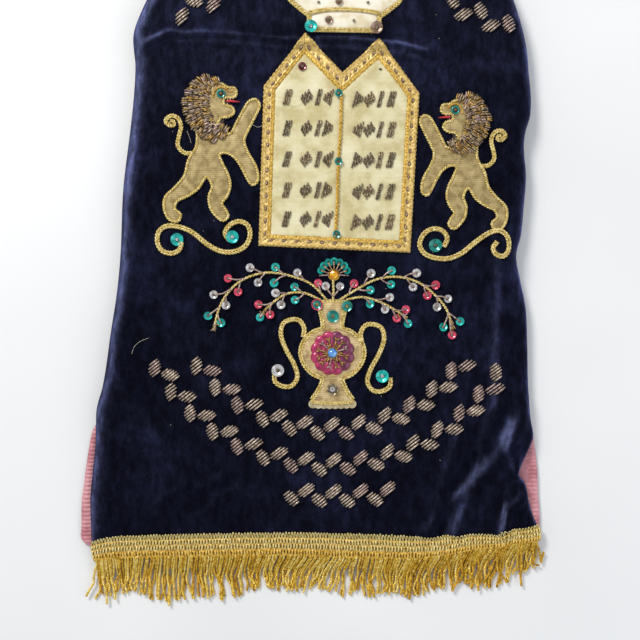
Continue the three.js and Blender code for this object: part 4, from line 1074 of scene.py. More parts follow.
def tablet_galloon():
    """A woven border with mitred corners: two raised edges and a row of oval eyelets."""
    made = Build()
    outer, inner = placed(gabled(0), TABLETS), placed(gabled(BAND), TABLETS)
    for k in range(len(outer)):
        after = (k + 1) % len(outer)
        border_side(made, k, outer[k], outer[after], inner[after], inner[k])
    for inset, radius in ((1.3, 0.7), (7.8, 0.5)):
        edge = drawn(gabled(inset), TABLETS, 1.5, True, False)
        cord(made, laid(edge, 2.15), radius, 3.4, sides=4, step=0.5, closed=True)
    return made.finish("tablets_galloon", [GALLOON, EYELET, CORD_DEEP, PURL_LILAC], "braid",
                       ["tablets_braid"])


def tablet_divider():
    """The thick cord between the two tablets."""
    made = Build()
    line = drawn([[0, FOOT + BAND - 1], [0.6, -40], [0, 0], [0.5, 40], [0, VALLEY - 20]], TABLETS, 1.0)
    cord(made, laid(line, 2.9), 1.75, 7.0, kind=0, sides=6)
    return made.finish("tablets_divider", [CORD_DEEP], "cord", ["tablets_cord"])


# Rows of plain marks on the tablets. A form is the heights of its bars in millimetres.
BAR, THIN, LOZENGE, STEPS = (15, 15, 15), (15.5, 15.5), (5.5, 10, 15, 10, 5.5), (6.5, 9.5, 12.5, 15.5)
BAR_PITCH, BAR_RADIUS, BAR_LEAN = 2.15, 0.82, 2.2
# In the picture's pixels: how far down each row is, where its forms are, and how much it moves row by row
TABLET_ROWS = [
    ((97, 128, 159, 190, 219), ((287.5, BAR), (306.5, LOZENGE), (318.5, THIN), (328, STEPS)), 0.3),
    ((99, 129.5, 160, 191.5, 222), ((358, STEPS), (369.5, LOZENGE), (380.5, THIN), (391.5, BAR)), 0.4),
]


def tablet_mark(made, x, y, heights, kind):
    """One bar, lozenge or run of steps: upright pieces of coiled wire side by side, leaning a little."""
    for n, tall in enumerate(heights):
        at = x + (n - (len(heights) - 1) / 2) * BAR_PITCH
        pieces = 2 if tall > 10 else 1
        for piece in range(pieces):
            low = y - tall / 2 + tall * piece / pieces + 0.3
            high = low + tall / pieces - 0.6
            lean = BAR_LEAN * (high - low) / 16
            middle = at + BAR_LEAN * (low + high - 2 * y) / 16 + chance.normal(0, 0.15)
            chip(made, middle - lean, low, middle + lean, high, BAR_RADIUS, 1.3, kind)


def tablet_rows():
    """Plain bars and lozenges of coiled wire in rows on the two tablets."""
    made = Build()
    for row in range(5):
        for side, (down, forms, drift) in enumerate(TABLET_ROWS):
            for n, (px, form) in enumerate(forms):
                turned = -1 if row % 2 != side else 1
                x, y = from_photo(px - drift * row, down[row])
                tablet_mark(made, x, y, form[::turned], (n + row) % 3 == side)
    return made.finish("tablet_rows", [PURL_DARK, PURL_GREY], "mane")


tablets_fields, tablet_area = tablet_fields()
galloon = tablet_galloon()
divider = tablet_divider()
rows_piece = tablet_rows()

# The crown
CROWN = {"x": 22.4, "y": 271.9, "turn": -1.1}
CROWN_HALF = [
    (31, 0), (31, 12), (38, 17), (49, 26), (56, 38), (49, 40), (40, 37), (37, 53), (28, 45), (17, 46),
    (9, 60),
]
CROWN_LOOP = CROWN_HALF + [(0, 67)] + [(-x, y) for x, y in CROWN_HALF[::-1]]
CROWN_BAND = [(-33, 13.6), (-18, 16.4), (0, 17.5), (18, 16.6), (33, 14.4)]


def grown(loop, by):
    """A closed outline moved outwards, with its corners kept."""
    loop = np.asarray(loop, float)
    found = []
    for i, point in enumerate(loop):
        back, ahead = point - loop[i - 1], loop[(i + 1) % len(loop)] - point
        back, ahead = back / np.linalg.norm(back), ahead / np.linalg.norm(ahead)
        out = np.array([back[1] + ahead[1], -back[0] - ahead[0]])
        out /= np.linalg.norm(out)
        found.append(point + out * by / max(0.5, out @ np.array([ahead[1], -ahead[0]])))
    return found


def crown():
    """The crown's satin fields, the cord around them, and the band across."""
    fields, outline = Build(), Build()

    def height(x, y, away):
        return 1.0 + 1.1 * (1 - np.exp(-away / 5)) + 0.15 * np.sin(x / 4) * np.sin(y / 5)

    patch(fields, drawn(CROWN_LOOP, CROWN, 2.2, True, False), 2.2, height)
    plait(outline, drawn(grown(CROWN_LOOP, 1.7), CROWN, 1.4, True, False), 4.7, 5.6, closed=True)
    plait(outline, drawn(CROWN_BAND, CROWN, 1.0), 4.2, 5.2, raised=1.9)
    fields.finish("crown_fields", [WHITE], "satin", ["crown_satin", "crown_band"])
    outline.finish("crown_outline", [CORD], "cord", ["crown_cord"])


crown()

# The lions, each in its own frame, standing on a scroll
LION_PLACES = {
    "left": {"x": -99, "y": 160, "across": 1, "along": 1},
    "right": {"x": 132.4, "y": 148.1, "across": -0.905, "along": 0.936},
}
LION_BODY = [
    (-18, 26), (0, 26), (14, 14), (21, 25), (27, 36), (33, 45), (39, 46.5), (42.5, 41), (39, 32), (33, 20),
    (28, 8), (32, -4), (38, -14), (41, -24), (40, -31), (35.5, -33.5), (31, -28), (26, -18), (19, -8),
    (11, -3.5),
    (5, -5), (8, -14), (13, -24), (15, -34), (12, -44), (7, -51), (11, -57), (13, -63), (8, -67), (1, -62),
    (-4, -54), (-5, -44), (-2, -35), (-7, -26), (-15, -37), (-25, -44), (-35, -49), (-37, -56), (-31.5, -61),
    (-34, -67.5), (-42, -66), (-47, -56), (-46, -45), (-37, -36), (-28, -25), (-24, -10), (-17, 2), (-16, 14),
]
LION_FACE = [
    (-6, 56), (0, 61), (7, 61), (13, 57.5), (19, 57), (21, 52), (18.5, 48.3), (9.5, 47.6), (9.3, 41.6),
    (16.5, 39.3),
    (18.5, 34), (13, 30), (6, 29), (2, 22), (-5, 32),
]
LION_TAIL = [
    (-20, -4), (-28, -3.5), (-34, 3), (-33, 12), (-31, 21), (-34, 29), (-41, 31), (-45.5, 26), (-41, 21.5),
]
LION_TAIL_CURL = [(-41, 21.5), (-37.5, 22.5), (-38, 26), (-41.5, 26.5)]
LION_SCROLLS = {
    "left": [(-31, -87), (-33, -94), (-40, -97.5), (-49, -95), (-53.5, -87), (-52, -77), (-45, -72),
             (-34, -72.5),
             (-22, -77), (-6, -89.5), (6, -95.5), (18, -96), (29, -90.5), (33.5, -80), (31, -71), (23, -67.5),
             (14, -71.5), (10, -79), (14, -85)],
    "right": [(-37, -80), (-33, -86), (-36, -92.5), (-43, -94.5), (-49, -87), (-47.5, -75), (-40, -69),
              (-30, -70.5), (-15, -80), (0, -91.5), (13, -96.5), (27, -96), (38, -91.5), (43, -83),
              (39, -72.5),
              (30, -67), (20, -68.5), (14.5, -76), (18, -85)],
}
LION_TONGUE = [(11, 44.5), (15, 44.7), (19, 44.4), (24, 44)]
LION_BROW = [(-1, 48), (0.5, 53.5), (4, 57.2), (9, 57.4), (12.5, 55)]
LION_NOSE = [(12.5, 55), (15, 53), (17.5, 54.4)]
EYE, MUZZLE_LEFT = (6.5, 51.5), 10
# Teeth: place across, from and to; dark lines of the mouth: height and how far across
TEETH = [(12.5, 45.2, 47), (15.2, 45.4, 47.2), (12.3, 42.9, 41.4)]
MOUTH_LINES = [(46.2, 16), (44.9, 15), (43.6, 14.6), (42.3, 15)]
# The pad under the mane: its middle, half its width and half its height
PAD_X, PAD_Y, PAD_ACROSS, PAD_ALONG = -8, 40, 19.6, 28.42
# Locks of the mane in the lion's own frame: tip x and y, base x and y
LOCKS = [
    (-9.5, 70.5, -4, 57), (-1, 68, 2, 60), (-18, 66, -8, 58), (-23.5, 60.5, -10, 56), (-28, 52.5, -13, 50.5),
    (-31.5, 42.5, -14, 43.5), (-29.5, 33.5, -13, 38), (-26.5, 25.5, -12, 33), (-21, 17.5, -9, 27),
    (-14.5, 10.5, -3, 21), (-5.5, 7, 5, 17.5), (4.5, 9.5, 11.5, 21), (-12, 61, -3.5, 52), (-15, 53, -5.5, 49),
    (-16, 45.5, -5.5, 43.5), (-15, 38, -5, 37), (-11, 29, -2.5, 31.5), (-4, 22, 5, 26), (-10, 24.5, 0, 27.5),
]
LOCK_HALF = 5.0
PURL_PITCH = 1.95


def lock_pieces(tip, base):
    """Both ends and the height of the pieces of coiled wire in one lock of the mane."""
    axis = tip - base
    long = np.linalg.norm(axis)
    axis = axis / long
    across = np.array([-axis[1], axis[0]])
    found = []
    for n, t in enumerate(np.arange(-2, 3) * PURL_PITCH):
        reach = long - LOCK_HALF * (1 - math.sqrt(1 - (t / LOCK_HALF) ** 2)) + chance.normal(0, 0.4)
        pieces = max(1, round(reach / 6.2))
        ends = np.linspace(-1.5 + 1.5 * (n % 2), reach, pieces + 1)
        for one, two in zip(ends[:-1], ends[1:]):
            points = [base + axis * s + across * t * (0.8 + 0.3 * s / long) for s in (one + 0.25, two - 0.25)]
            found.append((*points, 1.9 + 1.3 * (1 - (t / LOCK_HALF) ** 2) + chance.uniform(0, 0.4)))
    return found


def padding(x, y, away):
    """How a lightly padded appliqué stands."""
    dimples = 0.16 * np.sin(x / 1.9 + y / 5) * np.sin(y / 2.3 - x / 6)
    dimples = dimples + 0.2 * np.sin(x / 5.1) * np.sin(y / 4.3 + x / 9)
    return 1.0 + 0.8 * (1 - np.exp(-away / 2.5)) + dimples * np.minimum(1, away / 3)


def bulge(low, high, width):
    """The height of an appliqué that rises from its edge over about that width."""
    return lambda x, y, away: low + high * (1 - np.exp(-away / width))


def mane_lines(place):
    """The lines of the mane's pieces of coiled wire, without those that would cover the face."""
    pieces = [piece for row in LOCKS for piece in lock_pieces(*np.array(row, float).reshape(2, 2))]
    a, b = (np.array([piece[k] for piece in pieces]) for k in (0, 1))
    lift = np.array([piece[2] for piece in pieces])
    middle = (a + b) / 2
    keep = ~inside(spline(LION_FACE, True), middle[:, 0], middle[:, 1]) | (middle[:, 0] < -3.5)
    a, b, lift = a[keep], b[keep], lift[keep]
    turned = np.stack([a[:, 1] - b[:, 1], b[:, 0] - a[:, 0]], axis=1)
    turned /= np.linalg.norm(turned, axis=1)[:, None]
    t = np.linspace(0, 1, 7)[None, :, None]
    sway = np.sin(np.pi * t) * turned[:, None] * chance.uniform(-0.9, 0.9, len(a))[:, None, None]
    flat = placed(a[:, None] * (1 - t) + b[:, None] * t + sway, place)
    return laid(flat, lift[:, None] + 0.7 * np.sin(np.pi * t[..., 0]))


def lion_mane(side, place):
    """Locks of coiled wire in three colours over a pad, whose dark colour is painted shade between the locks.
    """
    made = Build()
    a = np.linspace(0, 2 * math.pi, 60, endpoint=False)
    pad = np.stack([PAD_X + PAD_ACROSS * np.cos(a), PAD_Y + PAD_ALONG * np.sin(a)], axis=1)
    patch(made, placed(pad, place), 2.4, bulge(1.0, 1.4, 4))
    lines = mane_lines(place)
    golden = chance.random(len(lines))
    for kind, chosen in ((1, golden < 0.55), (2, (golden >= 0.55) & (golden < 0.88)), (3, golden >= 0.88)):
        rods(made, lines[chosen], np.array([0.6, 0.85, 0.88, 0.88, 0.88, 0.85, 0.6])[None], 5, kind)
    made.finish(f"lion_{side}_mane_purl", [PAD_SHADE_AND_KNOT, PURL_GREY, PURL_BRONZE, PURL_LILAC], "mane",
                [f"lion_{side}_mane"])


def lion_cords(side, place):
    """The plaited cords of the tail and of the scroll that the lion stands on."""
    tail, scroll = Build(), Build()
    plait(tail, drawn(LION_TAIL, place, 1.2), 4.4, 5.2)
    plait(tail, spline(placed(LION_TAIL_CURL, place)), 3.4, 4.6)
    tail.finish(f"lion_{side}_tail_cord", [CORD], "cord", [f"lion_{side}_tail"])
    plait(scroll, drawn(LION_SCROLLS[side], place, 1.2), 5.0, 6.0)
    scroll.finish(f"lion_{side}_scroll_cord", [CORD], "cord", [f"lion_{side}_scroll"])


def lion_details(side, place):
    """Eye, mouth, teeth, tongue, brow and nose."""
    made = Build()
    x, y = placed([EYE], place)[0]
    disc(made, x, y, 4.1, 0, height=3.3, cup=0.9, facing=0.6)
    bead(made, x, y, 1.5, 4.2, 4)
    bead(made, x, y, 0.7, 4.9, 2)
    for height, reach in MOUTH_LINES:
        rods(made, laid(placed([(MUZZLE_LEFT, height), (reach, height)], place), 1.2)[None], 0.85, 5, 4)
    for across, low, high in TEETH:
        rods(made, laid(placed([(across, low), (across, high)], place), 2.4)[None], 0.32, 4, 5)
    tongue = drawn(LION_TONGUE, place, 0.8)
    share = np.linspace(0, 1, len(tongue))
    thick = (0.45 + 0.75 * np.sin(np.pi * share ** 0.8)) * (1 - 0.3 * share)
    rods(made, laid(tongue, 2.7)[None], thick[None], 6, 1)
    for line, lift, radius, pitch in ((LION_BROW, 3.5, 1.0, 2.6), (LION_NOSE, 3.3, 0.7, 2.4)):
        cord(made, laid(spline(placed(line, place)), lift), radius, pitch, sides=4, kind=3)
    made.finish(f"lion_{side}_face_bits", [TEAL_DEEP, TONGUE, PURL_BRONZE, CORD_DEEP, MOUTH, LOOSE], "lame")


def lion(side):
    """One rampant lion of dull gold lame with a cord around it."""
    place = LION_PLACES[side]
    skin, outline = Build(), Build()
    body = drawn(LION_BODY, place, 1.6, True)
    face = drawn(LION_FACE, place, 1.4, True)
    patch(skin, body, 1.9, padding)
    patch(skin, face, 1.5, bulge(1.9, 1.3, 3))
    for loop, lift in ((body, 1.5), (face, 2.3)):
        cord(outline, laid(loop, lift), 1.5, 5.2, closed=True, sides=5)
    lion_mane(side, place)
    lion_cords(side, place)
    lion_details(side, place)
    skin.finish(f"lion_{side}_skin", [LAME], "lame", [f"lion_{side}_body", f"lion_{side}_face"])
    outline.finish(f"lion_{side}_outline", [CORD], "cord")


for side_name in LION_PLACES:
    lion(side_name)

# The vase, its handles and rosette
VASE_HALF = [
    (19.5, -48), (19.5, -44), (14.5, -37), (11, -30), (9.5, -24.5), (18, -20.3), (25, -13.5), (29, -5.5),
    (30, 1),
    (28.5, 8), (24, 15), (17, 20.5), (9.5, 23.5), (9.5, 30), (11, 37), (12.7, 43), (13, 48),
]
VASE_LOOP = VASE_HALF + [(-x, y) for x, y in VASE_HALF[::-1]]
VASE_RIMS = [
    [(-20.5, -46), (-10, -47.2), (0, -47.6), (10, -47.2), (20.5, -46)],
    [(-13, 48), (0, 48.8), (13, 48)],
]
VASE_HANDLE = [
    (27.5, 13), (26.5, 21), (31, 28.5), (38, 29.5), (46, 26), (48.5, 16), (44, 2), (35.5, -14), (33, -25),
    (38.5, -33), (47, -33.5), (54, -29), (54.5, -21),
]
# Single sequins on the vase: place, radius, kind
VASE_SEQUINS = [(0, -34, 5.6, 6), (0.4, 34.5, 5.8, 1), (-14.5, 45.5, 5.3, 3), (13.6, 44, 5.0, 1)]
FOOT_HALF, FOOT_SEQUINS = 18.5, 8


def vase_sequins():
    """The row of pearly sequins under the foot, the single ones, and the flower of chips at the stem."""
    made = Build()
    for k, across in enumerate(np.linspace(-FOOT_HALF, FOOT_HALF, FOOT_SEQUINS)):
        x, y = placed([(across, -48.2 - 0.7 * (1 - (across / FOOT_HALF) ** 2))], VASE)[0]
        disc(made, x, y, 4.1, 6, height=0.25 + 0.3 * (k % 2), cup=0.35, hole=0.1)
    for *at, radius, kind in VASE_SEQUINS:
        x, y = placed([at], VASE)[0]
        disc(made, x, y, radius, kind, height=2.9, cup=1.2, facing=1.1, facets=16)
        bead(made, x, y, 1.0, 4.1, 4)
    x, y = placed([VASE_SEQUINS[2][:2]], VASE)[0]
    disc(made, x, y, 3.9, 1, height=3.9, cup=0.9, facing=0.4, facets=16)
    bead(made, x, y, 0.9, 5.1, 4)
    x, y = placed([VASE_SEQUINS[0][:2]], VASE)[0]
    for k in range(6):
        a = k / 6 * 2 * math.pi + 0.4
        for turn in (-0.42, 0.42):
            chip(made, *toward(x, y, 3.0, a + turn), *toward(x, y, 4.9, a), 0.6, 4.2, 5)
    bead(made, x, y, 1.7, 4.8, 0)
    made.finish("vase_sequins", [CLEAR, TEAL_DEEP, TEAL, ROSE, PURL_BRONZE, PURL_DARK, PEARL], "rosette",
                shaded_smooth=False)


def vase():
    """The vase of pale gold lame, its plaited edges, rims and handles, and its sequins."""
    field, edge, handles = Build(), Build(), Build()
    patch(field, drawn(VASE_LOOP, VASE, 1.8, True, False), 2.0, bulge(1.0, 1.3, 4))
    for way in (-1, 1):
        plait(edge, drawn([(way * x, y) for x, y in VASE_HALF[1:]], VASE, 1.2), 4.6, 5.6)
    for rim in VASE_RIMS:
        plait(edge, drawn(rim, VASE, 1.2), 3.8, 5.4)
    for y, half in ((22.2, 15), (-22, 13)):
        line = drawn([(-half, y), (0, y + 0.5), (half, y)], VASE, 1.2, curved=False)
        cord(edge, laid(line, 2.6), 0.6, 3.0, sides=4, kind=0)
    for way, lift in ((-1, 2), (1, -2.5)):
        plait(handles, drawn([(way * x, y + lift) for x, y in VASE_HANDLE], VASE, 1.2), 4.8, 6.0)
    field.finish("vase_field", [VASE_LAME], "lame", ["vase_body"])
    edge.finish("vase_outline", [CORD], "cord")
    handles.finish("vase_handles", [CORD], "cord", ["vase_handle_left", "vase_handle_right"])
    vase_sequins()


vase()

# The rosette
PETALS = 12


def petal(x, y, angle):
    """One petal's outline, that way from the middle."""
    found = []
    for b in np.linspace(0, 2 * math.pi, 26, endpoint=False):
        out, across = 13.8 + 7.2 * math.cos(b), 5.5 * math.sin(b) * (1 + 0.25 * math.cos(b))
        found.append((x + out * math.cos(angle) - across * math.sin(angle),
                      y + out * math.sin(angle) + across * math.cos(angle)))
    return found


def rosette():
    """Twelve petals, a ring of coiled wire in forked rays, and a blue stone."""
    made = Build()
    x, y = VASE["x"], VASE["y"]
    for k in range(PETALS):
        a = (k + 0.5) / PETALS * 2 * math.pi
        # Petals on one side of the ring take the lit foil as a painted highlight, the rest the shaded foil as
        # painted shade
        lit_side = -1.1 < (a - 0.15 + math.pi) % (2 * math.pi) - math.pi < 1.25
        patch(made, petal(x, y, a), 1.7, bulge(2.9, 1.5, 1.6), int(lit_side), low=1.8)
    a = np.linspace(0, 2 * math.pi, 40, endpoint=False)
    patch(made, np.stack([x + 11 * np.cos(a), y + 11 * np.sin(a)], axis=1), 2.4,
          lambda x, y, away: 3.6 + 0 * x, 0, low=1.8)
    for k in range(PETALS):
        b = (k + 0.5) / PETALS * 2 * math.pi + chance.normal(0, 0.03)
        rays = [(4.6, b, 12.6, b), (12.4, b, 15.3, b + 0.15), (12.4, b, 15.3, b - 0.15)]
        if k % 2:
            rays.append((5.0, b + 0.26, 9.5, b + 0.26))
        for near, one, far, two in rays:
            chip(made, *toward(x, y, near, one), *toward(x, y, far, two), 0.78, 4.1, 2 if k % 4 else 3,
                 bow=0.7)
    stone(made, x, y, 4.6, 4, 5.0, setting=2)
    return made.finish("rosette", [PETAL_LIT, PETAL_SHADED, PURL_BRONZE, PURL_LILAC, BLUE_STONE], "rosette",
                       ["vase_rosette"])


rosette_piece = rosette()

# Sprays
SPRAYS = {
    "left_long": [(-5.5, 50), (-19, 64), (-38, 72), (-60, 75.5), (-82, 70), (-97, 58), (-106, 43),
                  (-112, 21)],
    "left_short": [(-11.5, 50), (-27, 56.5), (-43, 55.5), (-57, 46.5), (-68, 35)],
    "centre": [(0.5, 50), (1, 60), (0.5, 69)],
    "right_short": [(13, 50), (27, 52.5), (42, 49), (56, 42), (70, 33)],
    "right_long": [(7, 50), (24, 60.5), (41, 69), (60, 71.5), (80, 66.5), (96, 54.5), (107, 41), (113, 23)],
}
CLEAR_ONE, TEAL_ONE, ROSE_ONE = 0, 1, 2
# Sequins of the sprays in the picture's pixels
SPRAY_SEQUINS = [
    (250, 267.7, CLEAR_ONE), (275.4, 267.2, TEAL_ONE), (297.3, 272.7, CLEAR_ONE), (228, 278.3, ROSE_ONE),
    (258, 282.5, CLEAR_ONE), (274, 283, TEAL_ONE), (318, 283, ROSE_ONE), (325.6, 286, CLEAR_ONE),
    (294.5, 286.8, TEAL_ONE), (213.7, 294.6, CLEAR_ONE), (238, 291.8, ROSE_ONE), (275.6, 293, CLEAR_ONE),
    (295, 300, TEAL_ONE), (226, 305.3, CLEAR_ONE), (258.4, 304.4, ROSE_ONE), (281, 304.7, CLEAR_ONE),
    (208, 315.8, TEAL_ONE), (260, 317.3, TEAL_ONE), (270, 314.5, ROSE_ONE), (221, 322.7, TEAL_ONE),
    (371, 273.3, CLEAR_ONE), (391.6, 270.5, TEAL_ONE), (416.6, 273, CLEAR_ONE), (391, 284.4, TEAL_ONE),
    (413, 287, CLEAR_ONE), (435.6, 285, ROSE_ONE), (354, 283.5, ROSE_ONE), (340, 286.2, CLEAR_ONE),
    (370.3, 290, TEAL_ONE), (389.7, 297.3, CLEAR_ONE), (427.3, 295.5, ROSE_ONE), (448, 298.8, CLEAR_ONE),
    (370, 303.8, TEAL_ONE), (437, 307, CLEAR_ONE), (385, 309.4, CLEAR_ONE), (405.8, 309.4, ROSE_ONE),
    (396.8, 318.2, ROSE_ONE), (408, 323.6, TEAL_ONE), (443.4, 327, TEAL_ONE), (460, 321.4, TEAL_ONE),
    (452, 335, ROSE_ONE),
]
SPRAY_SEQUIN = 4.0
# The stone where the sprays meet, in the picture's pixels
HEART = (334, 274.8)


def spray_foot(lines, x, y):
    """Where the stalk of a sequin leaves the nearest stem, a little before the nearest place."""
    near = None
    for flat in lines:
        gap = np.hypot(flat[:, 0] - x, flat[:, 1] - y)
        k = int(gap.argmin())
        if near is None or gap[k] < near[0]:
            near = (gap[k], flat[max(0, k - int(4 + gap[k] * 0.9))])
    return near[1]


def spray_blossoms(beads, twigs, lines):
    """The sequins beside the stems, each with a bead and a bent stalk."""
    for px, py, kind in SPRAY_SEQUINS:
        x, y = from_photo(px, py)
        facing = chance.uniform(0, 6.28)
        radius, height = SPRAY_SEQUIN * chance.uniform(0.96, 1.04), 1.0 + chance.uniform(0, 0.5)
        # The sequin's middle takes the darker copy of its colour, painted as shade in the cup
        disc(beads, x, y, radius, kind, height=height, cup=1.5, tilt=chance.uniform(0.05, 0.3), facing=facing,
             facets=12, middle=6 + kind)
        bead(beads, x, y, 0.8, 2.1, 3)
        foot = spray_foot(lines.values(), x, y)
        bend = chance.uniform(-0.1, 0.1)
        bent = ((x + foot[0]) / 2 + bend * (foot[1] - y), (y + foot[1]) / 2 - bend * (foot[0] - x))
        stalk = spline([(x, y), bent, tuple(foot)], per=4)
        rods(twigs, laid(stalk, np.linspace(2.9, 2.2, len(stalk)))[None], 0.82, 5, 0)


def spray_tips(twigs, lines):
    """Short pieces of coiled wire strewn at the ends of four stems."""
    for name in ("left_long", "left_short", "right_short", "right_long"):
        flat = lines[name]
        for _ in range(7):
            k = len(flat) - 1 - int(chance.integers(0, 7))
            x, y = flat[k] + chance.normal(0, 1.0, 2)
            a = chance.uniform(0, 3.14)
            dash(twigs, x, y, 2.2, a, 0.55, 1.8, 1 if chance.random() < 0.5 else 0)


def spray_heart(beads, twigs):
    """The fan of sequins over a yellow stone, where the sprays meet."""
    hx, hy = from_photo(*HEART)
    for k, a in enumerate(np.radians(np.linspace(165, 15, 7))):
        x, y = hx + 12.6 * math.cos(a), hy + 11.8 * math.sin(a) + 1
        # The middle takes the darker teal, painted as shade in the cup
        disc(beads, x, y, 3.5, TEAL_ONE, height=1.2 + 0.4 * (k % 2), cup=1.3, tilt=0.3, facing=a, facets=12,
             middle=7)
        for way in (-0.5, 0.5):
            chip(twigs, *toward(hx, hy, 4.6, a + way * 0.15), x + 1.2 * way * math.sin(a),
                 y - 1.2 * way * math.cos(a), 0.5, 2.6, 1 if way > 0 else 0)
    for a in (-0.05, math.pi + 0.05):
        chip(twigs, *toward(hx, hy, 4, a), *toward(hx, hy, 14, a), 0.6, 1.8, 0)
    stone(beads, hx, hy, 4.6, 4, 1.6, setting=5)


def sprays():
    """Five stems of cord above the vase, with stalks and sequins."""
    stems, twigs, beads = Build(), Build(), Build()
    lines = {name: drawn(points, VASE, 1.0) for name, points in SPRAYS.items()}
    for flat in lines.values():
        cord(stems, laid(flat, 1.7), 1.35, 6.2, sides=5)
    spray_blossoms(beads, twigs, lines)
    spray_tips(twigs, lines)
    spray_heart(beads, twigs)
    stems.finish("spray_stems", [CORD], "cord", [f"spray_{name}" for name in SPRAYS])
    twigs.finish("spray_stalks", [PURL_LILAC, PURL_BRONZE], "mane")
    beads.finish("spray_sequins", [CLEAR, TEAL, ROSE, PURL_LILAC, YELLOW_STONE, CORD_DEEP, CLEAR_SHADE,
                                   TEAL_SHADE, ROSE_SHADE], "rosette", shaded_smooth=False)


sprays()

# Single sequins in the picture's pixels: place, then radius, kind and height in millimetres
SINGLE_SEQUINS = [
    (338.7, 93.5, 3.7, 1, 3.9), (338.4, 161.6, 3.7, 1, 3.9), (336.4, 234.3, 3.7, 1, 3.9),
    (302.3, 66.3, 3.9, 3, 1.6), (177, 239.5, 6.0, 0, 1.0), (232.4, 237, 6.0, 0, 2.0),
    (435.5, 245.4, 6.2, 1, 1.0),
    (277.8, 370.4, 5.9, 2, 1.6), (382.3, 376.3, 6.1, 0, 1.2), (311, 26.7, 5.9, 0, 3.6),
    (376.6, 28, 5.7, 4, 3.6),
    (329, 20, 3.8, 4, 2.4), (339, 1.5, 3.4, 4, 2.4),
]
SMALL_BEADS = [(318.6, 2.3), (354, 20.8), (368, 2.6)]
# The kind of each sequin's middle, a darker copy painted as shade in its cup, by its own kind
SHADED_MIDDLE = (6, 6, 7, 8, 5)


def larger_sequins():
    """Single sequins: on the tablets, in the scrolls' curls, beside the handles, and on the crown."""
    made = Build()
    for px, py, radius, kind, height in SINGLE_SEQUINS:
        x, y = from_photo(px, py)
        facing = chance.uniform(0, 6.28)
        disc(made, x, y, radius, kind, height=height, cup=radius * 0.3, tilt=0.12, facing=facing, facets=16,
             rings=6, middle=SHADED_MIDDLE[kind])
        bead(made, x, y, 1.0, height + 1.4, 5 if kind else 2)
    for place in SMALL_BEADS:
        bead(made, *from_photo(*place), 0.95, 3.2, 5)
    made.finish("single_sequins", [TEAL, TEAL_DEEP, CLEAR, PLUM, BRONZE, PURL_DARK, TEAL_SHADE, CLEAR_SHADE,
                                   ROSE_SHADE], "rosette", shaded_smooth=False)


larger_sequins()

# Garlands of coiled-wire leaves: centre, radius, from and to in degrees round from straight down
GARLANDS = [
    (11, 51, 154, -56, 56), (11, 51, 188, -62, 59), (19, 231, 398, -7.5, 7.5), (21, -69, 387, 194.8, 204.2),
    (21, -30, 339, 152, 163.8),
]
SLANT = math.radians(38)
LEAF_LONG, LEAF_WIDE, LEAF_PITCH, LEAF_ASIDE = 8.6, 5.2, 13.0, 4.4


def leaf(made, middle, turn, kind):
    """An oval leaf filled with parallel slanted pieces of coiled wire."""
    d, n = np.array(toward(0, 0, 1, SLANT)), np.array(toward(0, 0, 1, SLANT + math.pi / 2))
    axis, across = np.array(toward(0, 0, 1, turn)), np.array(toward(0, 0, 1, turn + math.pi / 2))
    form = np.outer(axis, axis) / LEAF_LONG ** 2 + np.outer(across, across) / LEAF_WIDE ** 2
    half = math.sqrt(n @ np.linalg.inv(form) @ n)
    count = max(3, int(round(2 * half / 2.7)))
    for w in (np.arange(count) - (count - 1) / 2) * (2 * half - 1.2) / count:
        a, b, c = d @ form @ d, 2 * w * (d @ form @ n), w * w * (n @ form @ n) - 1
        root = math.sqrt(max(b * b - 4 * a * c, 0.0)) / (2 * a)
        start = middle + n * w + d * (-b / (2 * a) - root - chance.uniform(0, 0.8))
        end = middle + n * w + d * (-b / (2 * a) + root + chance.uniform(0, 0.8))
        chip(made, *start, *end, 0.88, 0.3, kind, bow=0.8)


def garlands():
    """Two staggered rows of leaves along each arc."""
    made = Build()
    for cx, cy, radius, start, end in GARLANDS:
        count = int(math.radians(abs(end - start)) * radius / LEAF_PITCH)
        for k in range(count):
            a = math.radians(start + (end - start) * (k + 0.5) / count)
            side = 1 if k % 2 else -1
            out = radius - side * LEAF_ASIDE
            middle = np.array([cx + out * math.sin(a), cy - out * math.cos(a)])
            leaf(made, middle, a + side * math.radians(40), 1 if chance.random() < 0.3 else 0)
    return made.finish("garlands", [PURL_SILVER, PURL_LILAC], "mane")


garland_piece = garlands()

# Loose threads, in the picture's pixels, and lint
LOOSE_LINES = [
    [(281, 101), (286, 104), (296, 106), (303, 102)], [(279, 106), (284, 112), (286, 121)],
    [(327, 173), (336, 169), (342, 166)], [(351, 112), (353, 106), (362, 104)],
    [(253, 125), (258, 127), (263, 125)], [(334, 212), (340, 222), (338, 232)],
    [(187, 131), (190, 139), (191, 143)], [(131.5, 354), (134, 347), (140, 341.5), (148.5, 338)],
]
KNOT = (380.5, 69)
LINT = 34


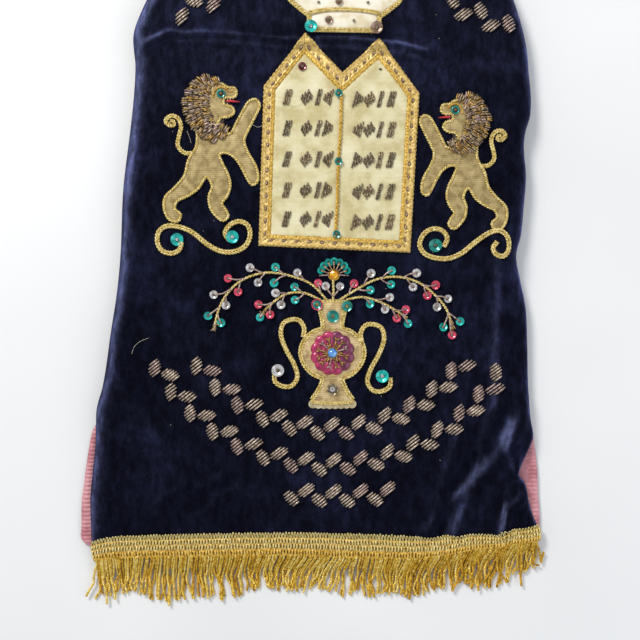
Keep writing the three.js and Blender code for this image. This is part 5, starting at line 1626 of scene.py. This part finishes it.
def loose_threads():
    """A few loose ends of thread, lint on the velvet, and a small dark knot."""
    made = Build()
    for line in LOOSE_LINES:
        flat = spline([from_photo(*point) for point in line])
        rods(made, laid(flat, 1.9)[None], 0.13, 4, 0)
    for x, y, a in zip(chance.uniform(-180, 180, LINT), chance.uniform(-190, 300, LINT),
                       chance.uniform(0, math.pi, LINT)):
        dash(made, x, y, 0.5, a, 0.14, 0.1, 0, bow=0.1)
    x, y = from_photo(*KNOT)
    for a in np.linspace(0, 2.6, 4):
        across, along = 1.6 * math.cos(a), 1.2 * math.sin(a)
        chip(made, x - across, y - along, x + across, y + along, 0.25, 1.5, 1)
    made.finish("loose_threads", [LOOSE, PAD_SHADE_AND_KNOT], "cord")


loose_threads()

# Floor, light and camera
FLOOR_HALF = 3.0
floor_mesh = bpy.data.meshes.new("floor")
floor_mesh.from_pydata([(x * FLOOR_HALF, y * FLOOR_HALF, 0) for x, y in ((-1, -1), (1, -1), (1, 1), (-1, 1))],
                       [], [(0, 1, 2, 3)])
floor = bpy.data.objects.new("floor", floor_mesh)
bpy.context.scene.collection.objects.link(floor)
floor_shade = Shade("floor_pale", 0.85)
floor_shade.color(floor_shade.ramp(floor_shade.noise(300, 2), (0.3, rgb("ebebea")), (0.7, rgb("f4f4f3"))))
floor_mesh.materials.append(floor_shade.made)

world = bpy.data.worlds.new("studio")
world.use_nodes = True
world.node_tree.nodes["Background"].inputs["Color"].default_value = (0.9, 0.94, 1.0, 1)
world.node_tree.nodes["Background"].inputs["Strength"].default_value = 0.55
bpy.context.scene.world = world


def soft_light(name, place, aim, size, power, color):
    """A round lamp that looks at a point."""
    data = bpy.data.lights.new(name, "AREA")
    data.shape = "DISK"
    data.size = size
    data.energy = power
    data.color = color
    made = bpy.data.objects.new(name, data)
    made.location = place
    made.rotation_euler = (Vector(aim) - Vector(place)).to_track_quat("-Z", "Y").to_euler()
    bpy.context.scene.collection.objects.link(made)


soft_light("key", (-0.9, 1.2, 1.5), (0, 0, 0), 0.6, 30, (1.0, 0.98, 0.95))
soft_light("fill", (1.3, -0.5, 1.3), (0, 0, 0), 1.6, 7, (0.92, 0.95, 1.0))

VIEW_WIDTH, VIEW_HEIGHT, CLOTH_Z, SENSOR = 0.6016, 0.954, 0.026, 36
camera_data = bpy.data.cameras.new("camera")
camera_data.sensor_width = SENSOR
camera_data.lens = SENSOR * VIEW_HEIGHT / VIEW_WIDTH
camera = bpy.data.objects.new("camera", camera_data)
camera.location = (SHIFT[0] / 1000, SHIFT[1] / 1000, VIEW_HEIGHT + CLOTH_Z)
bpy.context.scene.collection.objects.link(camera)
bpy.context.scene.camera = camera
bpy.context.scene.view_settings.view_transform = "Standard"
